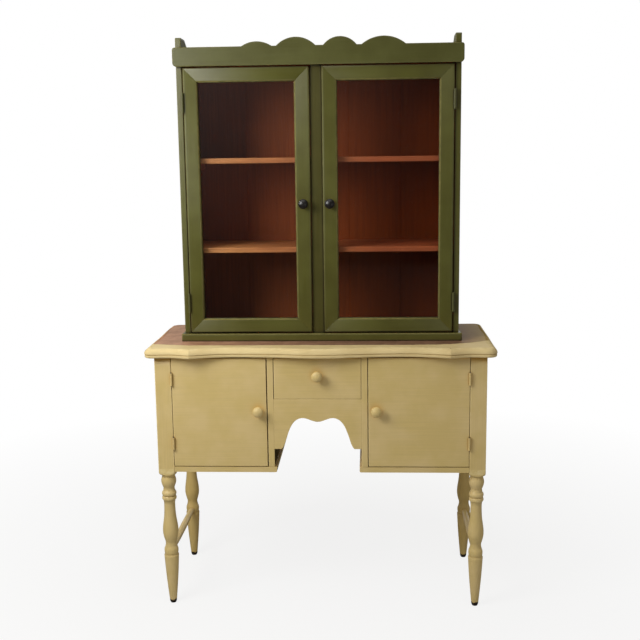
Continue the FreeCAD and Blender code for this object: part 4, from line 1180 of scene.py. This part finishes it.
@dataclass
class CabinetCase:
    """The upper cabinet without its doors: boards, crest, ears, stile and shelves."""

    crest_top: float = 1580 * MM
    crest_rise: float = 22.5 * MM
    crest_shares: tuple = ((-0.521, -0.313, 0.55), (-0.282, -0.013, 1.0),
                           (0.041, 0.269, 0.98), (0.303, 0.603, 0.94))
    crest_lower_corner: float = 10 * MM
    crest_upper_corner: float = 7 * MM
    crest_corner_points: int = 6
    crest_spacing: float = 1.5 * MM
    ear_flat: float = 56 * MM
    ear_sweep: float = 145 * MM
    ear_corner: float = 5 * MM
    ear_middle_share: float = 0.45
    ear_drop_share: float = 0.68
    back_boards: int = 5
    board_gap: float = 0.02 * MM

    def crest(self) -> None:
        """Places the crest board.

        Its upper edge is the highest, at each place, of the straight top and of four circle arcs. An
        arc of chord c and rise h has the radius (c * c / 4 + h * h) / (2 * h).
        """
        low, high = box_of("crest_board")
        half, straight = high[0], self.crest_top
        box = low[[0, 2]], np.array([half, straight])
        count = self.crest_corner_points
        lower = rounded_rectangle(*box, self.crest_lower_corner, count)
        upper = rounded_rectangle(*box, self.crest_upper_corner, count)
        reach = half - self.crest_upper_corner
        across = np.arange(reach - 1 * MM, -reach, -self.crest_spacing)
        top = np.full_like(across, straight)
        for start, end, rise in self.crest_shares:
            chord, height = (end - start) * half, rise * self.crest_rise
            radius = (chord ** 2 / 4 + height ** 2) / (2 * height)
            offset = across - (start + end) / 2 * half
            lift = np.sqrt(np.maximum(radius ** 2 - offset ** 2, 0)) - radius + height
            top = np.maximum(top, np.where(np.abs(offset) < chord / 2, straight + lift, straight))
        outline = np.vstack([upper[:count], np.column_stack([across, top]), upper[count:2 * count],
                             lower[2 * count:]])
        edge = eased_edge(high[1] - low[1], radius=1.6 * MM)
        surface = carried(divided(outline, spacing=12 * MM), edge, Plane.FRONT, low[1], seed=9)
        place_piece("crest_board", surface, CREST_GREEN)

    def side(self, node: str) -> None:
        """Places a side board, painted outside and stained inside, whose front corner rises as an ear."""
        low, high = box_of(node)
        gallery = box_of("cabinet_back_boards")[1][2]
        front, back, top = low[1], high[1], high[2]
        start, end = front + self.ear_flat, front + self.ear_flat + self.ear_sweep
        middle = [start + self.ear_sweep * self.ear_middle_share,
                  top - (top - gallery) * self.ear_drop_share]
        sweep = smooth_curve([[start, top], middle, [end, gallery]], 24)
        ear = arc((front + self.ear_corner, top - self.ear_corner), self.ear_corner, math.pi, QUARTER, 6)
        outline = np.vstack([[[back, gallery], [back, low[2]], [front, low[2]]], ear, sweep])
        edge = eased_edge(high[0] - low[0], radius=1.4 * MM)
        inner_cap = (0, 1) if low[0] < 0 else (1, 0)
        surface = carried(divided(outline, spacing=14 * MM), edge, Plane.SIDE, low[0], seed=11,
                          cap_finishes=inner_cap)
        place_piece(node, surface, GREEN.along(Strokes.UPRIGHT), GALLERY_GREEN)

    def back(self) -> None:
        """Places the upright back boards, a thin gap apart.

        The stain ends at each board's front arris: its edges and its back are bare. Of the bands of
        faces round a board, the first ones up to the arris keep the first finish.
        """
        low, high = box_of("cabinet_back_boards")
        pitch = (high[0] - low[0] + self.board_gap) / self.back_boards
        boards = []
        for number in range(self.back_boards):
            start, end = low.copy(), high.copy()
            start[0] = low[0] + number * pitch
            end[0] = low[0] + (number + 1) * pitch - self.board_gap
            panel = board(start, end, Plane.FRONT, seed=20 + number, cap_finishes=(0, 1))
            stained = ARRIS_POINTS * (len(panel.faces) - 2) // (2 * ARRIS_POINTS + 3)
            panel.finishes[stained:] = [1] * (len(panel.faces) - stained)
            panel.finishes[-2] = 0
            boards.append(panel)
        place_piece("cabinet_back_boards", joined(boards), GALLERY_GREEN, BARE.along(Strokes.UPRIGHT))

    def build(self) -> None:
        """Places the case."""
        outside, inside = GREEN.along(Strokes.ACROSS), STAINED.along(Strokes.ACROSS)
        place_board("cabinet_base_board", Plane.FLOOR, outside, inside, ease=3 * MM, corner=6 * MM)
        for side in SIDES:
            self.side("cabinet_side_" + side)
        self.back()
        place_board("cabinet_top_board", Plane.FLOOR, outside, inside, cap_finishes=(1, 0))
        self.crest()
        place_board("cabinet_middle_stile", Plane.FRONT, SHADED_GREEN, STAINED.along(Strokes.UPRIGHT),
                    cap_finishes=(0, 1))
        for level in ("lower", "upper"):
            place_board("shelf_" + level, Plane.FLOOR, SHELF_WOOD.along(Strokes.ACROSS), ease=1.8 * MM)
        dress_nodes(STAINED.along(Strokes.DEEP), "shelf_cleats")


@dataclass
class GlazedDoors:
    """The two glazed doors: mitred frame members, wavy glass, beads, knobs and hinges."""

    outer_arris: float = 4.5 * MM
    paint_fill: float = 1.6 * MM
    chamfer: float = 3.5 * MM
    lip: float = 9 * MM
    rebate: float = 9 * MM
    mitre_ease: float = 0.45 * MM
    glass_wave: float = 0.12 * MM
    glass_rim: float = 1 * MM
    glass_lines: tuple = ((0, 25), (2, 61))

    def section(self, width: float, thickness: float) -> Array:
        """The frame's section as distances from its outer edge and its face, with wear."""
        turn = np.linspace(0, QUARTER, ARRIS_POINTS)
        arris = np.column_stack([self.outer_arris * (1 - np.cos(turn)),
                                 self.outer_arris * (1 - np.sin(turn)), 0.2 + 0.45 * np.sin(2 * turn)])
        bevel, soft = width - self.chamfer, 0.6 * MM
        rest = [
            [self.outer_arris + 2 * MM, 0, 0], [bevel - 2 * MM, 0, 0], [bevel - soft, 0, 0.8],
            [bevel + soft * 0.7, soft * 0.7, 0.85], [width - soft * 0.7, self.chamfer - soft * 0.7, 0.75],
            [width, self.chamfer + soft, 0.2], [width, self.lip, 0], [width - self.rebate, self.lip, 0],
            [width - self.rebate, thickness, 0], [0, thickness, 0], [0, self.outer_arris + 3 * MM, 0],
        ]
        return np.vstack([arris, rest])

    def member(self, node: str, upright: bool, towards: int, filled: tuple[float, float]) -> None:
        """Places one frame member.

        The section is carried along the member, and each of its points starts and ends as far in
        as it lies from the outer edge, which makes the mitres. The first and last rings are a
        little smaller, so that the joint shows as a fine line.

        Args:
            node: the CAD node.
            upright: whether it is a stile.
            towards: 1 if the glass lies on the side of the higher coordinate, and -1 if not.
            filled: how much wider paint has made the member at its lower and higher X.
        """
        low, high = box_of(node)
        low[0] -= filled[0]
        high[0] += filled[1]
        across, along = (0, 2) if upright else (2, 0)
        width, length = high[across] - low[across], high[along] - low[along]
        section = self.section(width, high[1] - low[1])
        full, centre = section[:, :2], section[:, :2].mean(axis=0)
        shrunk = centre + (full - centre) * (1 - 2 * self.mitre_ease / width)
        rings = np.stack([shrunk, full, full, full, shrunk])
        ease = self.mitre_ease
        share = np.array([0, ease, length / 2, length - ease, length])[:, None] / length
        inset = rings[..., 0]
        points = np.empty((*inset.shape, 3))
        points[..., across] = (low if towards > 0 else high)[across] + towards * inset
        points[..., along] = low[along] + inset + (length - 2 * inset) * share
        points[..., 1] = low[1] + rings[..., 1]
        strokes = Strokes.UPRIGHT if upright else Strokes.ACROSS
        place_piece(node, ringed(points, np.repeat(section[None, :, 2], 5, axis=0)), GREEN.along(strokes))

    def glass(self, node: str) -> None:
        """Places a pane: two grids a thickness apart that wave together and lie flat at the edges.

        The wave is the sum of three slanting sines, times one that calms it towards the edges. The
        grids' outermost cells are narrow, so that the bend to the rim shades only what the rebate hides.
        """
        low, high = box_of(node)
        rim = self.glass_rim
        x, z = np.meshgrid(*(
            np.concatenate([[low[axis]], np.linspace(low[axis] + rim, high[axis] - rim, count), [high[axis]]])
            for axis, count in self.glass_lines))
        u, v = (x - low[0]) / (high[0] - low[0]), (z - low[2]) / (high[2] - low[2])
        calm = np.sin(math.pi * u) * np.sin(math.pi * v)
        ripple = np.sin(7 * u + 9 * v + 1) + np.sin(13 * v - 5 * u + 2) + 0.5 * np.sin(23 * u + 11 * v)
        shift = self.glass_wave * calm * ripple / 2.5
        grids = np.stack([np.stack([x, depth + shift, z], axis=-1) for depth in (low[1], high[1])])
        here = np.arange(x.size).reshape(x.shape)
        quads = np.stack([here[:-1, :-1], here[:-1, 1:], here[1:, 1:], here[1:, :-1]], axis=-1)
        quads = quads.reshape(-1, 4)
        edge = np.concatenate([here[0, :-1], here[:-1, -1], here[-1, :0:-1], here[:0:-1, 0]])
        beyond = np.roll(edge, -1)
        sides = np.column_stack([edge, edge + x.size, beyond + x.size, beyond])
        faces = np.vstack([quads, quads[:, ::-1] + x.size, sides]).tolist()
        surface = Surface(grids.reshape(-1, 3), faces, np.zeros(2 * x.size), [0] * len(faces))
        pane = place_piece(node, surface.facing_outwards(), GLASS)
        pane.data.polygons.foreach_set("use_smooth", np.arange(len(faces)) < 2 * len(quads))

    def door(self, side: str) -> None:
        """Places one door, which layers of paint have made a little wider at the middle stile."""
        name = f"glazed_door_{side}_"
        outer, middle = (1, (0.0, self.paint_fill)) if side == "left" else (-1, (self.paint_fill, 0.0))
        self.member(name + "outer_stile", True, outer, (0.0, 0.0))
        self.member(name + "inner_stile", True, -outer, middle)
        self.member(name + "top_rail", False, -1, middle)
        self.member(name + "bottom_rail", False, 1, middle)
        self.glass(name + "glass")
        dress_nodes(GREEN.along(Strokes.UPRIGHT), name + "beads")
        BLACK_KNOB.place(name + "knob", box_of(name + "top_rail")[0][1], BLACK_ENAMEL)
        dress_nodes(GREEN_HINGE, "cabinet_hinge_door_leaves_" + side)

    def build(self) -> None:
        """Places both doors."""
        for side in SIDES:
            self.door(side)
        dress_nodes(GREEN_HINGE, "cabinet_hinge_side_leaves", "cabinet_hinge_pins")


# Floor, light and camera

@dataclass
class Lamp:
    """A square soft light that points at the hutch."""

    name: str
    place: tuple[float, float, float]
    aim: tuple[float, float, float]
    size: float
    power: float

    def light(self) -> None:
        """Puts the lamp into the scene."""
        data = bpy.data.lights.new(self.name, "AREA")
        data.size = self.size
        data.energy = self.power
        lamp = add_object(self.name, data)
        lamp.visible_camera = False
        lamp.location = self.place
        direction = Vector(self.aim) - Vector(self.place)
        lamp.rotation_euler = direction.to_track_quat("-Z", "Y").to_euler()


@dataclass
class Studio:
    """A pale floor, a soft window light from the upper left, a dim room, and the photograph's camera."""

    lamps: tuple = (
        Lamp("window", (-1.066, -1.027, 1.62), (0.0, -0.1, 0.95), 0.8, 22.1),
        Lamp("ceiling", (0.0, -0.9, 3.3), (0.0, -0.2, 0.8), 2.2, 15.0),
        Lamp("reflector", (1.3, -1.6, 0.7), (0.2, -0.1, 0.7), 1.0, 2.2),
    )
    ambient: float = 0.39
    room_light: str = "#FFF8EC"
    room_low: float = FLOOR_PAINT.mirrored
    room_high: float = 0.40
    camera_place: tuple = (137.33 * MM, -2763.57 * MM, 1272.87 * MM)
    yaw: float = -2.971
    pitch: float = -9.513
    roll: float = -0.738
    lens: float = 53.82
    floor_radius: float = 9.0
    floor_level: float = -0.2 * MM

    def world(self) -> None:
        """The room: white where it is seen, and a soft light from above on the hutch elsewhere.

        Mirror rays see the white backdrop behind the hutch, and in front of it the dim room, which
        is lighter towards its ceiling and towards the window on the left.
        """
        world = bpy.data.worlds.new("room")
        nodes = Nodes.of(world)
        way = nodes.way()
        towards = nodes.parts(add_node(nodes.tree, "TexCoord").outputs["Generated"])
        room = nodes.math("MULTIPLY", nodes.ramp(towards["Z"], -0.1, 0.3, self.room_low, self.room_high),
                          nodes.ramp(towards["X"], 0.07, -0.25, 0.15, 1.3))
        ahead = nodes.math("MULTIPLY", room, way["Is Glossy Ray"])
        around = nodes.blend(nodes.ramp(towards["Y"], -0.2, 0.5), ahead, 1.0)
        overhead = nodes.ramp(towards["Z"], -0.25, 0.6, 0.0, self.ambient)
        mirrored = nodes.math("MAXIMUM", way["Is Glossy Ray"], way["Is Transmission Ray"])
        strength = nodes.blend(nodes.seen(way, 1.5), nodes.blend(mirrored, overhead, around), 1.0)
        warmth = nodes.mix(way["Is Diffuse Ray"], WHITE, self.room_light)
        light = nodes.shader("Background", {"Color": warmth, "Strength": strength})
        add_node(nodes.tree, "OutputWorld", {"Surface": light})
        bpy.context.scene.world = world

    def floor(self) -> None:
        """Lays a round floor just below the feet."""
        rim = arc((0, 0), self.floor_radius, 0, 2 * math.pi, 49)[:-1]
        mesh = bpy.data.meshes.new("floor")
        mesh.from_pydata([(x, y, self.floor_level) for x, y in rim.tolist()], [], [list(range(len(rim)))])
        mesh.materials.append(FLOOR_PAINT.material())
        floor = add_object("floor", mesh)

    def camera(self) -> None:
        """The camera at the photograph's place: it looks slightly left and down, and leans a little."""
        yaw, pitch, roll = (math.radians(angle) for angle in (self.yaw, self.pitch, self.roll))
        forward = np.array([math.sin(yaw) * math.cos(pitch), math.cos(yaw) * math.cos(pitch),
                            math.sin(pitch)])
        level = np.array([math.cos(yaw), -math.sin(yaw), 0.0])
        upright = np.cross(level, forward)
        right = level * math.cos(roll) + upright * math.sin(roll)
        up = -level * math.sin(roll) + upright * math.cos(roll)
        data = bpy.data.cameras.new("photograph")
        data.lens = self.lens
        data.sensor_width = 36.0
        camera = add_object("photograph", data)
        turn = np.eye(4)
        turn[:3] = np.column_stack([right, up, -forward, self.camera_place])
        camera.matrix_world = Matrix(turn.tolist())
        bpy.context.scene.camera = camera

    def build(self) -> None:
        """Puts the whole studio into the scene."""
        bpy.context.scene.view_settings.view_transform = "Standard"
        self.world()
        self.floor()
        for lamp in self.lamps:
            lamp.light()
        self.camera()


def main() -> None:
    """Builds the hutch piece by piece, then the studio."""
    logging.basicConfig(level=logging.INFO, format="%(name)s: %(message)s")
    assemblies = (TableTop(), TurnedLegs(), StandCarcass(), CupboardDoors(), KneeholeDrawer(),
                  CabinetCase(), GlazedDoors(), Studio())
    for assembly in assemblies:
        LOG.info("building %s", type(assembly).__name__)
        assembly.build()


if __name__ == "__main__":
    main()
